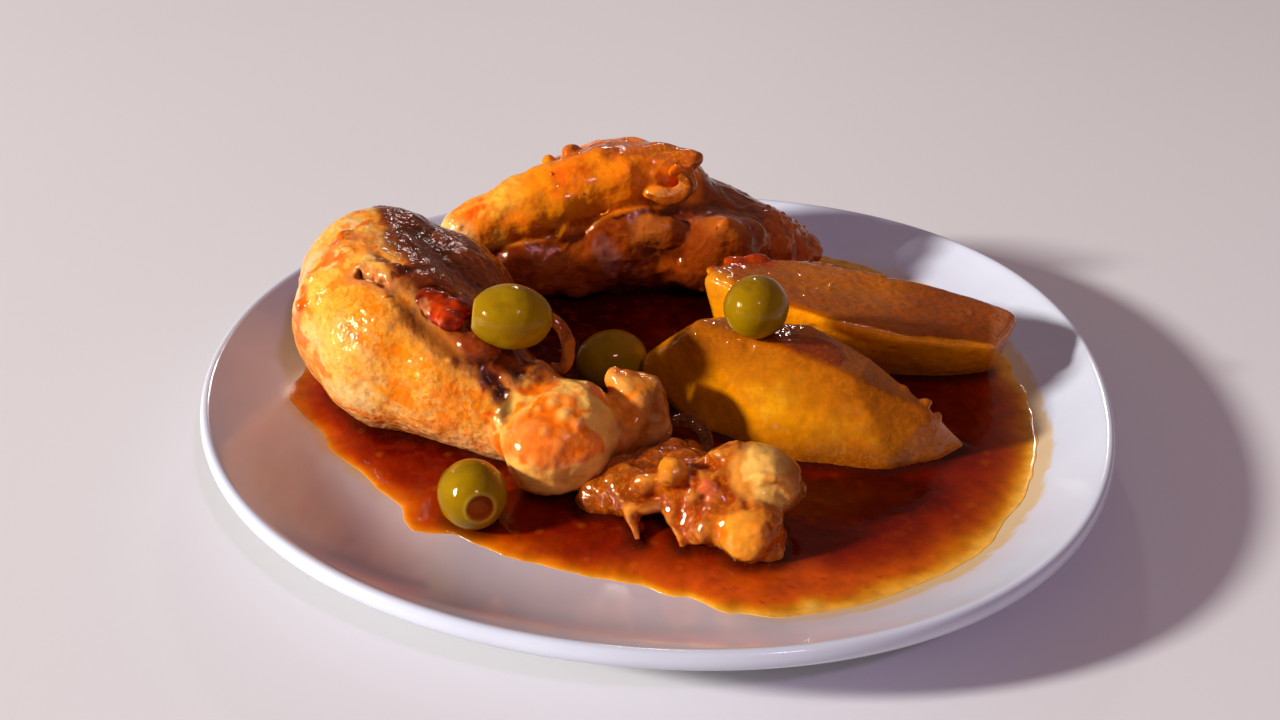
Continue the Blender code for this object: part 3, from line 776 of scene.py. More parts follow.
def dress_knuckle():
    uneven = ((7, 0.9, 58), (3, 0.35, 59))
    obj = grown("chicken_knuckle", "knuckle", KNUCKLE_FORMS, voxel=0.5, rounds=7, uneven=uneven)
    points = points_of(obj)
    for start, end in TENDONS:  # drawn thin
        along = np.subtract(end, start) / np.linalg.norm(np.subtract(end, start))
        share = np.clip((points - start) @ along, 0, 14)
        middle = start + share[:, None] * along
        pull = ramp(np.linalg.norm(middle - points, axis=1), 5, 3.5) * ramp(share, 2, 9)
        points = toward(points, middle, 0.5 * pull)
    move_points(obj, points)
    cap = near(points, (27, -67, 25), 11, 0.35)
    low_lobe = near(points, (20, -80, 16), 9, 0.4)
    points = toward(points, evened(obj, 50), most(0.9 * cap, low_lobe, 0.35))
    move_points(obj, points)
    height = (0.4 * noise(points, 5, 61) + 0.1 * noise(points, 1.8, 62)) * (1 - 0.8 * cap)
    height += cap * (0.6 + 0.16 * noise(points, 2.6, 67))
    height += 0.8 * near(points, ((23, -71, 28), (29, -71.5, 27.5), (33, -68, 25)), 1.3, 1.0)
    for seam in SEAMS:
        height -= 0.7 * ramp(path_distance(points, seam), 1.9, 0.0)
    raise_surface(obj, height)
    sunk = hollows(obj)

    x, y, z = points.T
    stain = blots(warp(points, 3, 1, 72), 5, 73, 0.1, 0.5, 2)
    meat = ((-14, -54, 14), (-7, -51, 14), (0, -52, 17), (7, -52, 19), (10, -45, 17))
    limb = ((-20, -58, 11), (-13, -60, 14), (-8, -61, 17))
    gully_shade = ((12, -72, 22), (17, -76, 20.5), (23, -77, 21))
    paint = coated(
        (0.36, 0.068, 0.001),
        ((0.28, 0.032, 0.001), blots(points, 6, 63, -0.4, 0.3)),
        ((0.7, 0.23, 0.015), 0.5 * blots(points, 4.0, 64, 0.25, 0.6)),
        ((0.78, 0.42, 0.085), cap * 0.9),
        ((0.62, 0.18, 0.008), 0.8 * cap * stain),
        ((0.74, 0.27, 0.016), low_lobe * 0.75),
        ((0.66, 0.12, 0.001), 0.8 * low_lobe * stain),
        ((0.78, 0.24, 0.004), near(points, (3.8, -66, 27), 5, 0.6) * 0.9),
        # Painted shade in the hollows, less on the cap
        ((0.28, 0.034, 0.001), 0.9 * np.clip(1.3 * sunk, 0, 1) * (1 - 0.6 * cap)),
        # Proud places painted paler: painted highlight
        ((0.84, 0.4, 0.06), -0.25 * sunk),
        ((0.24, 0.04, 0.003), ragged(points, (4, 1.5, 70), meat, 9)),
        ((0.24, 0.042, 0.002), 0.9 * ragged(points, (4, 1.5, 74), limb, 8.5)),
        # Painted shade in the gully between the cap and the low lobe
        ((0.3, 0.055, 0.004), ragged(points, (3, 1, 69), gully_shade, 3.2, 0.6) * 0.85),
        ((0.56, 0.1, 0.03), ragged(points, (2, 1.0, 65), (12.5, -71, 24), 3.6, 0.6)),
        (COAT, 0.75 * ramp(z, 12, 8) + 0.5 * ramp(y, -60, -54)),
        ((0.24, 0.055, 0.005), ramp(x + 0.4 * (z - 20), 32, 37) * 0.8),
    )
    speck = 0.25 * (1 - cap) * (1 - low_lobe)
    finish = flesh_finish("chicken_sinew", OIL, relief=0.16)
    return finish_piece(obj, finish, "chicken", "knuckle", paint, wet=0.97, speck=speck)


# The thigh


FLAP = ((-63.5, 59, 37), (-46.5, 61, 44), (-20.5, 67, 52), (2, 71, 57))
THIGH_FORMS = (
    # The rolled edge of the flap and its curl
    (((-2, 61, 49), (5, 60, 49), (10.5, 61.5, 51.5), (10, 63, 55.5)), (2.2, 3, 3, 2.2)),
    # Lobes of meat under the flap, and lumps on it
    (10.5, 68, 58.5, 4.4, 3.6, 3.4, 20), (-2, 58, 37, 6.5, 3.6, 5.4), (-30, 56.5, 38, 2.4, 2, 4.4),
    (-38, 57.5, 24, 15, 6, 10, 10), (-22, 60, 24, 12, 6, 10), (-27, 57, 16, 4, 3, 3), (-12, 59.5, 34, 12, 5, 10),
    (30, 65, 32, 7, 5, 8), (40, 70, 25, 6, 4.6, 6), (49, 76, 20, 4.6, 4, 4.6), (-64, 57, 39, 4.4, 3.6, 3.4),
    (-35.5, 74, 54, 3, 3, 2.6, 30), (-28.6, 76, 57, 3.4, 3.4, 3.6), (-22.5, 60, 54, 3, 2.4, 2.2),
    (-17, 55.5, 44, 1.6, 1.2, 1.2), (-15, 56, 46, 1.3, 1, 1), (5, 58, 36, 6, 3.6, 6, 8), (26, 60, 33, 6, 4, 8),
    (24, 58.5, 39, 4, 3, 3), (22.5, 57, 42, 2.4, 2, 1.6), (6, 60.5, 56.5, 4, 2, 2.4, 20),
)


def dress_thigh():
    obj = grown("chicken_thigh", "thigh", THIGH_FORMS, voxel=0.65, rounds=12, uneven=((10, 1.0, 67),))
    points = points_of(obj)
    x, _, z = points.T
    flap = ragged(points, (8, 2.0, 71), FLAP, 15.5, 0.2)
    flap = most(flap, ramp(z + 0.25 * (x + 20), 49, 53) * ramp(x, 16, 10))
    flap *= ramp(z - 0.12 * (x + 60), 31, 34)
    body = 1 - flap
    points = toward(points, evened(obj, 45), 0.85 * body)
    move_points(obj, points)
    x, _, z = points.T
    crumbs = ramp(x + 2 * noise(points, 5, 87, 3), 33, 39)
    height = 0.45 * noise(points, 8, 72) + 0.1 * noise(points, 3.4, 73)
    ridge = 1 - np.abs(noise(warp(points, 6, 2, 90), (9, 9, 5), 74))
    height += body * (0.9 * np.clip(ridge - 0.7, 0, 1) + 0.2 * noise(points, 5, 86) + 0.5)
    height += 0.8 * dots(points, 5.5, 75, 0.35, 0.05, 0.86)
    height += crumbs * 0.5 * dots(points, 2.8, 88, 0.5, 0.2, 0.5)
    height += 0.22 * flap * noise(points, (14, 5, 5), 76)
    raise_surface(obj, height)
    sunk = hollows(obj)

    lilac_sheen = blots(points @ np.diag((1, 1, 0.4)), (3.4, 3.4, 3.4), 78, 0.0, 0.45, 2)
    streaks = most(
        near(points, ((-17, 55, 32), (-12, 56, 22)), 7), near(points, ((10, 60, 44), (19, 62, 38)), 7),
        0.9 * near(points, ((28, 63, 38), (29, 62, 26)), 6), 0.8 * near(points, ((-8, 58, 44), (2, 59, 45)), 5),
    )
    slab = ragged(points, (5, 1.5, 79), ((8, 54, 34), (22, 55, 33), (20, 55, 26)), 10, 0.25)
    pulp = ragged(points, (4, 1.5, 80), ((-2, 57, 39), (-4, 57, 33)), 6.5, 0.3)
    hot = blots(warp(points, 5, 2, 82), 10, 83, -0.1, 0.4) * 0.8 + ramp(x, -26, -10) * 0.6
    torn = ragged(points, (4, 1.5, 95), ((-26, 74, 58), (-14, 70, 60), (0, 70, 62)), 8)
    paint = coated(
        (0.19, 0.022, 0.001),
        ((0.3, 0.048, 0.002), blots(points, 9, 77, -0.1, 0.5)),
        # Pale membrane streaks, with a painted lilac sheen
        ((0.26, 0.12, 0.1), 0.35 * streaks * lilac_sheen),
        ((0.24, 0.032, 0.002), 0.85 * slab),
        ((0.42, 0.095, 0.008), 0.8 * ragged(points, (3, 1, 96), ((18, 58, 41), (25, 57, 39)), 5.5, 0.6)),
        ((0.4, 0.1, 0.012), 0.8 * pulp),
        ((0.42, 0.06, 0.004), crumbs * 0.9),
        ((0.56, 0.17, 0.02), crumbs * blots(points, 3.5, 81, 0.1, 0.5)),
        # Painted shade in the hollows of the body
        ((0.07, 0.006, 0.001), 0.9 * sunk * body),
        # Proud places of the body painted paler: painted highlight
        ((0.46, 0.095, 0.006), -0.3 * sunk * body),
        # The body painted darker towards the bottom: painted shade
        (DEEP_SHADE, 0.85 * body * ramp(z + 0.15 * np.abs(x), 25, 15)),
        ((0.84, 0.24, 0.004), flap),
        ((0.84, 0.38, 0.035), 0.8 * flap * ramp(x + 5 * noise(points, 8, 97, 3), -34, -50)),
        ((0.82, 0.135, 0.001), flap * np.clip(0.9 * hot, 0, 1)),
        # Painted shade in the hollows of the flap
        ((0.4, 0.05, 0.002), 0.8 * sunk * flap),
        ((0.84, 0.5, 0.16), flap * near(points, ((-68, 58, 38), (-62, 54, 37)), 6.5, 0.7)),
        (RED, ragged(points, (3, 1.5, 84), ((-58, 55.5, 44), (-55, 57, 45)), 4.0)),
        (RED, 0.8 * ragged(points, (3, 1.5, 89), ((-32, 60, 53), (-24, 63, 56)), 4.0)),
        ((0.36, 0.075, 0.012), 0.8 * torn),
        ((0.32, 0.07, 0.01), near(points, ((6, 68, 60), (12, 67, 57), (13, 65, 52)), 8) * 0.8),
        ((0.52, 0.17, 0.03), near(points, ((0, 59, 49), (6, 58, 49.5), (9, 61, 53)), 3.6)),
    )
    wet, speck, crinkle = 0.85 + 0.25 * noise(points, 6, 85, 3), 0.5 * flap + 0.05, 0.22 * body
    grain = (0, math.radians(70), 0)
    finish = flesh_finish("chicken_thigh", (0.84, 0.2, 0.002), 1.4, relief=0.15, scatter=0.1, grain=grain)
    return finish_piece(obj, finish, "chicken", "thigh", paint, wet=wet, speck=speck, crinkle=crinkle)


# The potatoes


# The front potato's upper corners from left to right, then those at its base
FRONT_WEDGE = (
    (2.5, 0, 19, 7), (13.2, -12.2, 36.2, 5), (23, -6, 35, 4), (35, -25.8, 38.4, 2.2), (41.5, -15, 38.5, 2.2),
    (53.2, -33.2, 32.8, 2.2), (57.5, -22, 33, 2), (72.5, -33.4, 24.2, 1.6), (75.8, -34.5, 12.5, 3),
    (83, -29.2, 11.5, 2), (15.5, -18, 13, 5), (37.5, -31.5, 13, 7), (61.5, -36, 12, 7), (31, -2, 12, 6),
    (63, -16, 12, 6),
)
FRONT_RIDGE = ((13, -13, 39), (24, -20, 40), (35, -26, 40), (53, -33, 34), (72, -34, 25))
FRONT_FLAKES = (
    (72.5, -31, 26, 2.4, 1.6, 1.2, 20), (76.5, -31, 21.6, 1.9, 1.3, 1.5, 70), (66, -28.4, 29.2, 2.6, 1.4, 1, -20),
)


def back_flakes():
    """A crumbling edge along the back, and pulp at the left end."""
    rows = []
    for k in range(16):
        share, jog = k / 15, math.sin(7.3 * k)
        middle = (46 + 52 * share, 33.6 - 19.5 * share**1.6 + 0.6 * jog, 37.8 - 7.4 * share)
        rows.append((*middle, 2.0 + 0.9 * jog, 1.5, 0.9, 170))
    return [*rows, (24, 30, 40, 4, 2.4, 1.2), (30, 31, 40.2, 4, 2.2, 1.4), (17, 24, 39.4, 2.4, 2, 1)]


def dress_potato(name, node, seed, film_z, film_share, flakes, corners=()):
    """The wedge, what its colours depend on, and the paint that both wedges share."""
    uneven = ((16, 0.5, seed + 30),)
    obj = grown(name, node, flakes, voxel=0.6, rounds=3, sharp=28, uneven=uneven, corners=corners)
    points, normals = points_of(obj), normals_of(obj)
    z = points[:, 2]
    height = 0.3 * noise(points, 14, seed) + 0.07 * noise(points, 4, seed + 1)
    top = ramp(normals[:, 2], 0.62, 0.85)
    film = top * ramp(z + 2 * noise(points, 8, seed + 2, 3), film_z, film_z + 6) * film_share
    ripple = 1 - np.abs(noise(warp(points, 9, 3, seed + 9), (16, 6, 6), seed + 3))
    height += film * (0.15 + 0.18 * ramp(ripple, 0.8, 1.0) + 0.1 * noise(points, 9, seed + 14))
    height -= 0.3 * dots(points, 7, seed + 4, 0.35, 0.1, 0.85) * (1 - film)
    raise_surface(obj, height)
    veins = 1 - np.abs(noise(warp(points, 6, 2, seed + 15), (9, 9, 5), seed + 16))
    red = blots(warp(points, 5, 2, seed + 7), 12, seed + 8, -0.1, 0.6)
    paint = coated(
        (0.58, 0.195, 0.001),
        ((0.7, 0.31, 0.003), blots(points, (16, 8, 8), seed + 5, -0.1, 0.6) * 0.75),
        ((0.56, 0.14, 0.001), blots(points, 9, seed + 6, 0.1, 0.8) * 0.6),
        ((0.78, 0.42, 0.03), 0.35 * ramp(veins, 0.85, 1.0) * (1 - top)),
        # The upward faces painted darker amber: partly a film of sauce, partly painted shade where the low key light
        # grazes them
        ((0.27, 0.058, 0.001), 0.85 * top),
        ((0.36, 0.066, 0.001), film * (0.35 + 0.55 * red)),
    )
    return obj, points, normals, paint, film, ramp(z + 1.5 * noise(points, 9, seed + 12, 3), 25, 13)


def finish_potato(obj, finish, node, paint, film, *wet):
    wet = 0.7 + 0.3 * most(film, *wet)
    return finish_piece(obj, finish, "potato", node, paint, wet=wet, speck=0.3 - 0.2 * film)


def dress_potatoes():
    finish = potato_finish()
    front, points, normals, paint, film, low = dress_potato(
        "potato_wedge_front", "potato_front", 201, 30, 0.5, FRONT_FLAKES, FRONT_WEDGE)
    pulp = ragged(points, (4, 2, 241), ((32, -19, 41), (39, -23, 41), (47, -25, 39)), 7)
    paint = coated(
        paint,
        ((0.2, 0.038, 0.001), 0.9 * low),
        # The left end painted lighter: painted light over the shadow cast there
        ((0.66, 0.21, 0.001), 0.85 * ramp(points @ np.array((0.85, 0.45, 0.0)), 14, 3)),
        # Darker amber towards the top ridge: partly a film of sauce, partly painted shade where the key light grazes
        ((0.4, 0.105, 0.001), 0.8 * ragged(points, (6, 2, 247), FRONT_RIDGE, 18, 0.6)),
        ((0.3, 0.07, 0.001), 0.8 * ragged(points, (6, 2, 246), FRONT_RIDGE, 9, 0.9)),
        ((0.24, 0.022, 0.001), 0.9 * pulp),
        # The right end darker and redder: partly its film of sauce, partly painted shade
        ((0.44, 0.105, 0.001), 0.8 * ramp(points[:, 0], 68, 78)),
    )
    gleam = ragged(points, (5, 2, 242), ((8, -12, 33), (13, -19, 33), (18, -23, 29)), 8, 0.7)
    finish_potato(front, finish, "potato_front", paint, film, pulp, gleam)

    back, points, normals, paint, film, low = dress_potato(
        "potato_wedge_back", "potato_back", 221, 22, 1.0, back_flakes())
    pulp = ragged(points, (4, 2, 243), ((20, 29, 41), (31, 29, 41)), 6)
    paint = coated(
        paint,
        # The front side painted a lighter orange: painted light over the shadow cast on it
        ((0.84, 0.28, 0.002), 0.9 * ramp(-normals[:, 1], 0.3, 0.7) * (1 - film)),
        ((0.5, 0.12, 0.001), 0.25 * low),
        ((0.5, 0.13, 0.001), 0.7 * film * near(points, ((50, 22, 38), (68, 20, 36)), 16, 0.8)),
        ((0.24, 0.04, 0.001), 0.75 * film * ramp(points[:, 0] + 4 * noise(points, 9, 245, 3), 62, 84)),
        ((0.34, 0.022, 0.001), 0.9 * pulp),
        ((0.52, 0.16, 0.045), 0.75 * side(points, (99, 6, 25), (0.9, -0.25, 0.1), 3)),
        ((0.62, 0.2, 0.006), 0.8 * ragged(points, (4, 1.5, 244), (16, 17, 38), 8)),
    )
    finish_potato(back, finish, "potato_back", paint, film, pulp)
    return [front, back]


def potato_finish():
    made = flesh_finish("potato_flesh", (0.56, 0.15, 0.001), 1.1, scatter=0.22)
    made.bump(made.ramp(made.cells(0.9), 0.0, 0.6), 0.015)
    ripples = made.noise(1.7, 1, 0.5, 0.3, made.stretched((0.6, 1, 1)))
    made.bump(made.times(ripples, made.ramp(made.attribute("wet"), 0.82, 1.0)), 0.32)
    return made


# The olives, tomato and onion


# Node, middle, length, radius, yaw and pitch
OLIVES = (
    ("olive_on_drumstick", (-39.5, -28.9, 49.8), 22.6, 8.9, 181, 5),
    ("olive_on_potato", (26.5, -18.9, 48.8), 20, 8.7, 60, -20),
    ("olive_in_front", (-47.5, -62.9, 16.0), 20, 9.0, -70, 8),
    ("olive_in_gap", (-13.5, 8.1, 17), 22, 9.2, 20, 0),
)
OLIVE_AROUND = 80
OLIVE_STEPS = 44


def make_olive(name, centre, length, radius, yaw, pitch, finish, seed):
    """Turned round +X, with the pit's hole in that end, then pushed a little out of shape."""
    half, hole = length / 2, 0.34 * radius
    mouth = math.asin((hole + 1.1) / radius)
    cut = half * math.cos(mouth) + 0.15
    inside = [(0.05, half - 0.27 * length), (hole * 0.6, half - 0.26 * length), (hole * 0.92, half - 0.22 * length)]
    inside += [(hole, half - 0.19 * length), (hole, cut - 1.2), (hole + 0.08, cut - 0.6), (hole + 0.3, cut - 0.2)]
    inside += [(hole + 0.65, cut)]
    bend = np.linspace(mouth, math.pi - 0.05, OLIVE_STEPS)
    outside = [(radius * math.sin(a), half * math.cos(a)) for a in bend] + [(0.05, -half)]
    around = [2 * math.pi * k / OLIVE_AROUND for k in range(OLIVE_AROUND)]
    rings = [[(x, r * math.cos(a), r * math.sin(a)) for a in around] for r, x in inside + outside]
    obj = skin_of_rings(name + "_flesh", rings)
    local = points_of(obj)
    height = 0.22 * noise(local + seed * 50, 9, seed) + 0.05 * noise(local, 2.5, seed + 1)
    height -= 0.25 * dots(local, 7, seed + 2, 0.35, 0.0, 0.6)
    raise_surface(obj, height)
    away = np.hypot(local[:, 1], local[:, 2])
    paint = coated(
        (0.25, 0.132, 0.001),
        ((0.34, 0.19, 0.001), 0.7 * blots(local, 8, seed + 3, -0.3, 0.7)),
        ((0.16, 0.08, 0.001), 0.6 * blots(local, 6, seed + 4, 0.2, 0.8)),
        ((0.46, 0.29, 0.025), 0.7 * ramp(np.abs(away - hole - 0.7), 1.1, 0.3) * ramp(local[:, 0], cut - 2, cut - 0.6)),
        ((0.5, 0.12, 0.008), (away < hole + 0.5) * (local[:, 0] > 0)),
    )
    obj.data.transform(placed(Vector(centre) * MM, yaw, pitch))
    return finish_piece(obj, finish, "olive", name, paint)


def olive_finish():
    made = Shader("olive_skin", IOR=1.45, Specular_IOR_Level=0.32, Specular_Tint=WARM,
                  Subsurface_Weight=0.12, Subsurface_Scale=0.002, Subsurface_Radius=(0.9, 0.7, 0.1))
    fleck = made.ramp(made.cells(0.9), 0.28, 0.12)
    colour = made.mix(made.times(fleck, 0.18), made.attribute("paint", "Color"), (0.48, 0.31, 0.03))
    stain = made.ramp(made.noise(4, 4), 0.6, 0.72, 0.0, 0.5)
    made.colour(made.mix(stain, colour, (0.3, 0.1, 0.004)))
    made.roughness(made.ramp(made.noise(3, 4), 0.3, 0.7, 0.05, 0.17))
    made.bump(made.noise(1.2, 3), 0.05)
    made.bump(made.noise(5, 2), 0.12)
    return made


TOMATO_FORMS = (
    (-61, -22, 50.5, 4.6, 3.4, 3, 30), (-56, -28, 48.2, 5, 3.4, 3, -40),
    (-55, -23.5, 49.5, 5, 4, 3, -20), (-63, -19.5, 52.2, 2.4, 1.6, 1.4, 60),
)
# How much of each strip's colour is kept: the strip in the gap is darkened as painted shade
ONION_PAINTED_SHADE = (("onion_on_hock", 1.0), ("onion_in_gap", 0.3), ("onion_on_thigh", 1.0))


def dress_small():
    """The tomato and the onion."""
    tomato = grown("tomato_flesh", "tomato_piece", TOMATO_FORMS, voxel=0.4, rounds=9, uneven=((5, 1.0, 90),))
    points = points_of(tomato)
    raise_surface(tomato, 0.35 * noise(points, 4.5, 91, 3))
    paint = coated(
        (0.17, 0.005, 0.0005),
        ((0.5, 0.035, 0.001), blots(points, 5, 92, 0.0, 0.7)),
        ((0.62, 0.2, 0.06), 0.8 * ragged(points, (2, 1, 94), ((-65, -20, 52), (-63, -25, 50)), 2.0)),
    )
    finish = flesh_finish("tomato_flesh", (0.62, 0.09, 0.004), relief=0.1, scatter=0.2, wet_roughness=0.08)
    finish_piece(tomato, finish, "tomato", "tomato_piece", paint, wet=1, speck=0.1)
    finish = flesh_finish("onion_flesh", (0.44, 0.11, 0.004), scatter=0.03)
    for k, (node, shade) in enumerate(ONION_PAINTED_SHADE):
        strip = grown(node + "_strip", node, (), voxel=0.3, rounds=4)
        points = points_of(strip)
        raise_surface(strip, 0.16 * noise(points, 2.5, 93 + k))
        # Painted shade darkens the strip in the gap
        dark, light = (0.22 * shade, 0.036 * shade, 0.001), (0.42 * shade, 0.1 * shade, 0.004)
        paint = coated(dark, (light, blots(points, 4, 96 + k, 0.0, 0.6)))
        finish_piece(strip, finish, "onion", node, paint, wet=1, speck=0.2)


# The sauce


SAUCE_AROUND = 660
SAUCE_ACROSS = 112
EDGE_WIDTH = 4.0  # how gently the sauce's edge runs out
FILM_Z = 0.06  # what the thinnest film stands above the glaze
SINK_Z = 0.15  # how far the underside reaches into the glaze
MAX_DEPTH = 12
UNDERSIDE = (0.5, 0.2, 0.02)


def faces_of(obj):
    """The object's points in millimetres and its faces, for a search tree."""
    return points_of(obj).tolist(), [tuple(face.vertices) for face in obj.data.polygons]


def make_sauce(food):
    angle = np.arange(SAUCE_AROUND) * 2 * math.pi / SAUCE_AROUND
    share = 1 - (1 - np.linspace(0, 1, SAUCE_ACROSS)) ** 1.35
    share[0] = 0.004
    degrees = np.degrees(angle)
    edge = outline_radius(degrees)
    rim = np.stack([edge * np.cos(angle), edge * np.sin(angle), np.zeros(SAUCE_AROUND)], -1)
    edge = edge + 0.8 * noise(rim, 9, 101) + 0.12 * noise(rim, 2.2, 102)
    radius = share[:, None] * edge[None, :]
    x, y = radius * np.cos(angle), radius * np.sin(angle)
    floor = floor_z(x, y)
    inside = edge[None, :] - radius
    rounded = 1 - np.exp(-inside / EDGE_WIDTH)
    full = most(sauce_level(radius, degrees[None, :]) - floor, 0.03 + 0.85 * rounded)
    top = floor + FILM_Z + full * rounded
    flat = np.stack([x + CENTRE[0], y + CENTRE[1], top], -1).reshape(-1, 3)

    # Its surface rises a little where it wets the food
    away = np.full(len(flat), 9.0)
    for tree in [BVHTree.FromPolygons(*faces_of(obj)) for obj in food]:
        for i, point in enumerate(flat):
            found = tree.find_nearest(point, 8.0)
            if found[0] is not None:
                away[i] = min(away[i], found[3])
    rise = 1.1 * np.exp(-away / 1.1) * (away < 5)
    swell = 0.2 * noise(flat, 13, 103) + 0.06 * noise(flat, 5, 104)
    eyes, pick = grains(flat * (1, 1, 0), 5.5, 105)
    size = 0.1 + 0.22 * pick
    eye = ramp(eyes, size, size - 0.09) * (pick > 0.35)
    pulp = blots(flat, 3.0, 106, 0.15, 0.6)
    depth = np.clip(flat[:, 2] - floor.ravel(), 0.02, MAX_DEPTH)
    calm = ramp(inside.ravel(), 0.5, 4)
    high = flat.copy()
    high[:, 2] += rise + calm * (swell + 0.08 * eye + 0.1 * pulp)
    rings = list(high.reshape(SAUCE_ACROSS, SAUCE_AROUND, 3))
    under = range(SAUCE_ACROSS - 1, SAUCE_ACROSS // 2, -4)
    for i in under:
        rings.append(np.stack([x[i] + CENTRE[0], y[i] + CENTRE[1], floor[i] - SINK_Z], -1))
    obj = skin_of_rings("sauce_puddle", rings)

    # The deeper it is, the more light it takes, green and blue first
    depth = np.clip(depth + calm * (0.6 * noise(flat, 9, 107, 3)), 0.02, MAX_DEPTH)
    left = ramp(flat[:, 0] + 5 * noise(flat, 14, 110, 3), 20, -45)
    thick = depth * (1 + 0.8 * left)
    red, green = 0.74 * np.exp(-0.36 * thick), (0.38 - 0.1 * left) * np.exp(-0.95 * thick)
    blue = (0.06 - 0.03 * left) * np.exp(-3.5 * thick)
    front = ramp(flat[:, 1] + 6 * noise(flat, 12, 108, 3), -78, -92) * ramp(flat[:, 0], -45, -20)
    fleck = dots(flat * (1, 1, 0), 2.4, 109, 0.28, 0.16, 0.6) * (0.1 + 0.6 * front)
    paint = coated(
        np.stack([red + 0.008, green + 0.0004, blue + 0.0001], -1),
        ((0.52, 0.065, 0.003), front * 0.75 * ramp(depth, 0.6, 1.8)),
        ((0.22, 0.016, 0.001), 0.4 * pulp * ramp(depth, 1.5, 3.0)),
        ((0.5, 0.11, 0.004), 0.25 * eye * ramp(depth, 0.7, 1.5) * ramp(depth, 5.0, 3.0)),
        # Painted shadow where the sauce meets the food
        ((0.03, 0.002, 0.0003), 0.9 * ramp(away, 5, 0.6)),
        ((0.34, 0.012, 0.001), fleck * ramp(depth, 4.5, 3.0) * ramp(depth, 0.5, 1.2)),
    )
    paint = np.concatenate([paint, np.ones((len(under) * SAUCE_AROUND, 3)) * UNDERSIDE])

    made = Shader("tomato_sauce", IOR=1.36, Specular_IOR_Level=0.35, Specular_Tint=(1.0, 0.8, 0.75, 1.0))
    colour = made.tinted(made.ramp(made.noise(5, 6, 0.6), 0.3, 0.7, 0.82, 1.15))
    seeds = made.ramp(made.cells(1.5), 0.16, 0.07, 0.0, 0.18)
    made.colour(made.mix(seeds, colour, (0.55, 0.11, 0.004)))
    made.roughness(made.ramp(made.noise(6, 4), 0.3, 0.7, 0.04, 0.14))
    made.bump(made.noise(6, 2), 0.05)
    made.bump(made.ramp(made.cells(1.5), 0.2, 0.05), 0.015)
    finish_piece(obj, made, "tomato_sauce", "sauce", paint)


# Scattered bits


def strew(name, obj, count, sizes, colours, seed):
    """Small uneven bits on the upper side of a piece."""
    chance = np.random.default_rng(seed)
    shape = bmesh.new()
    paint = []
    points, normals = points_of(obj), normals_of(obj)
    mask = (points[:, 2] > 13.0) * (normals[:, 2] > -0.2) + 1e-9
    for i in chance.choice(len(points), size=count, replace=False, p=mask / mask.sum()):
        size = sizes[0] + (sizes[1] - sizes[0]) * chance.random() ** 2
        radii = size * (0.6 + 0.8 * chance.random(3)) * (1, 1, 0.4)
        turn = Vector(normals[i]).to_track_quat("Z", "Y").to_matrix().to_4x4()
        turn = turn @ Matrix.Rotation(chance.random() * math.tau, 4, "Z")
        before = len(shape.verts)
        matrix = Matrix.Translation(points[i]) @ turn @ Matrix.Diagonal((*radii, 1))
        bmesh.ops.create_icosphere(shape, subdivisions=2, radius=1, matrix=matrix)
        colour = colours[chance.integers(len(colours))]
        shade = 0.75 + 0.5 * chance.random()
        paint += [np.array(colour) * shade] * (len(shape.verts) - before)
    bits = new_object(name, shape)
    raise_surface(bits, 0.16 * noise(points_of(bits), 0.9, seed))
    finish = flesh_finish(name, (0.6, 0.2, 0.02), 1.0, relief=0.05, scatter=0.3, wet_roughness=0.1)
    finish_piece(bits, finish, "tomato_sauce", None, np.array(paint), wet=1, speck=0)


# The stage, the light and the camera


# Name, direction, distance and size in metres, watts and colour
LIGHTS = (
    ("key", (-0.89, -0.28, 0.38), 4.0, 0.42, 262, (1.0, 0.97, 0.94)),
    ("cool", (0.3, -0.62, 0.73), 3.0, 0.22, 14, (0.74, 0.5, 1.0)),
    ("back", (0.02, 0.86, 0.46), 3.0, 0.2, 4.5, (1.0, 0.9, 0.86)),
)
WORLD_COLOUR = (1.0, 0.72, 0.6, 1.0)
WORLD_STRENGTH = 0.19
FLOOR_SIZE = 4000
# The camera that fits the plate's rim in the photo: metres, degrees, and the lens in the photo's pixels
CAMERA_AT = (-0.005, -0.3711, 0.2236)
CAMERA_DOWN = 28.57
CAMERA_ROLL = 0.75
FOCAL_PIXELS = 1442
PHOTO_WIDTH = 1280
SENSOR_WIDTH = 36


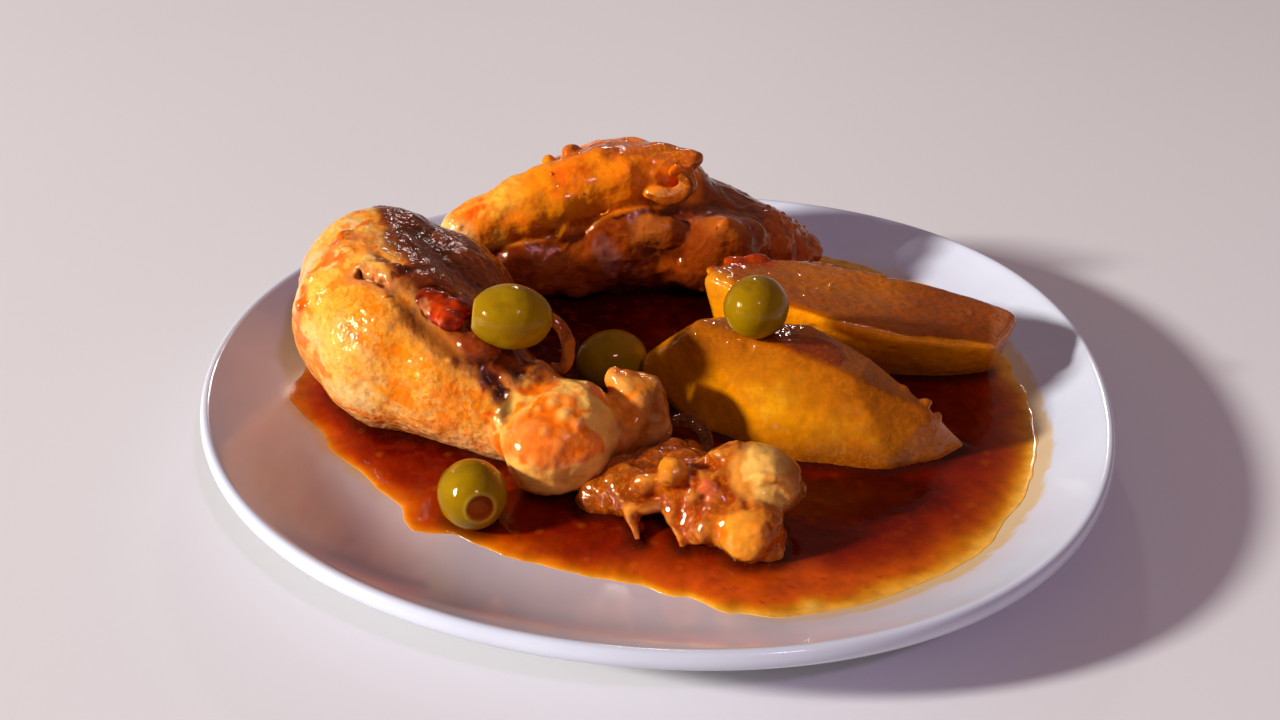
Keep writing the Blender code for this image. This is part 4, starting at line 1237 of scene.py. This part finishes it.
def look_at(obj, target, roll=0.0):
    direction = Vector(target) - obj.location
    turn = direction.to_track_quat("-Z", "Y").to_matrix().to_4x4()
    obj.rotation_euler = (turn @ Matrix.Rotation(roll, 4, "Z")).to_euler()


def area_light(name, direction, distance, size, power, colour):
    light = bpy.data.lights.new(name, "AREA")
    light.shape = "DISK"
    light.size = size
    light.energy = power
    light.color = colour
    obj = linked(name, light)
    obj.location = Vector(direction).normalized() * distance
    look_at(obj, (0, 0, 0.02))


def make_stage():
    shape = bmesh.new()
    bmesh.ops.create_grid(shape, x_segments=1, y_segments=1, size=FLOOR_SIZE)
    floor = new_object("floor", shape)
    look = Shader("floor", Roughness=0.6)
    look.colour(look.mix(look.noise(300), (0.72, 0.71, 0.71), (0.75, 0.74, 0.74)))
    floor.data.materials.append(look.material)

    for light in LIGHTS:
        area_light(*light)
    world = bpy.data.worlds.new("studio")
    bpy.context.scene.world = world
    world.use_nodes = True
    background = world.node_tree.nodes["Background"]
    background.inputs["Color"].default_value = WORLD_COLOUR
    background.inputs["Strength"].default_value = WORLD_STRENGTH

    lens = bpy.data.cameras.new("camera")
    lens.sensor_width = SENSOR_WIDTH
    lens.lens = SENSOR_WIDTH * FOCAL_PIXELS / PHOTO_WIDTH
    camera = linked("camera", lens)
    camera.location = CAMERA_AT
    down = math.radians(CAMERA_DOWN)
    target = camera.location + Vector((0, math.cos(down), -math.sin(down)))
    look_at(camera, target, math.radians(CAMERA_ROLL))
    bpy.context.scene.camera = camera
    bpy.context.scene.view_settings.view_transform = "Standard"


make_plate()
drumstick = dress_drumstick()
knuckle = dress_knuckle()
thigh = dress_thigh()
potatoes = dress_potatoes()
olive_look = olive_finish()
olives = [make_olive(*spec, olive_look, 300 + 10 * k) for k, spec in enumerate(OLIVES)]
dress_small()
make_sauce([drumstick, knuckle, thigh, *potatoes, olives[2], olives[3]])
strew("pulp_bits", thigh, 16, (0.5, 1.2), ((0.6, 0.11, 0.006), (0.7, 0.27, 0.04), (0.42, 0.04, 0.003)), 401)
strew("drumstick_bits", drumstick, 12, (0.4, 0.9), ((0.7, 0.17, 0.006), (0.74, 0.4, 0.1)), 402)
make_stage()
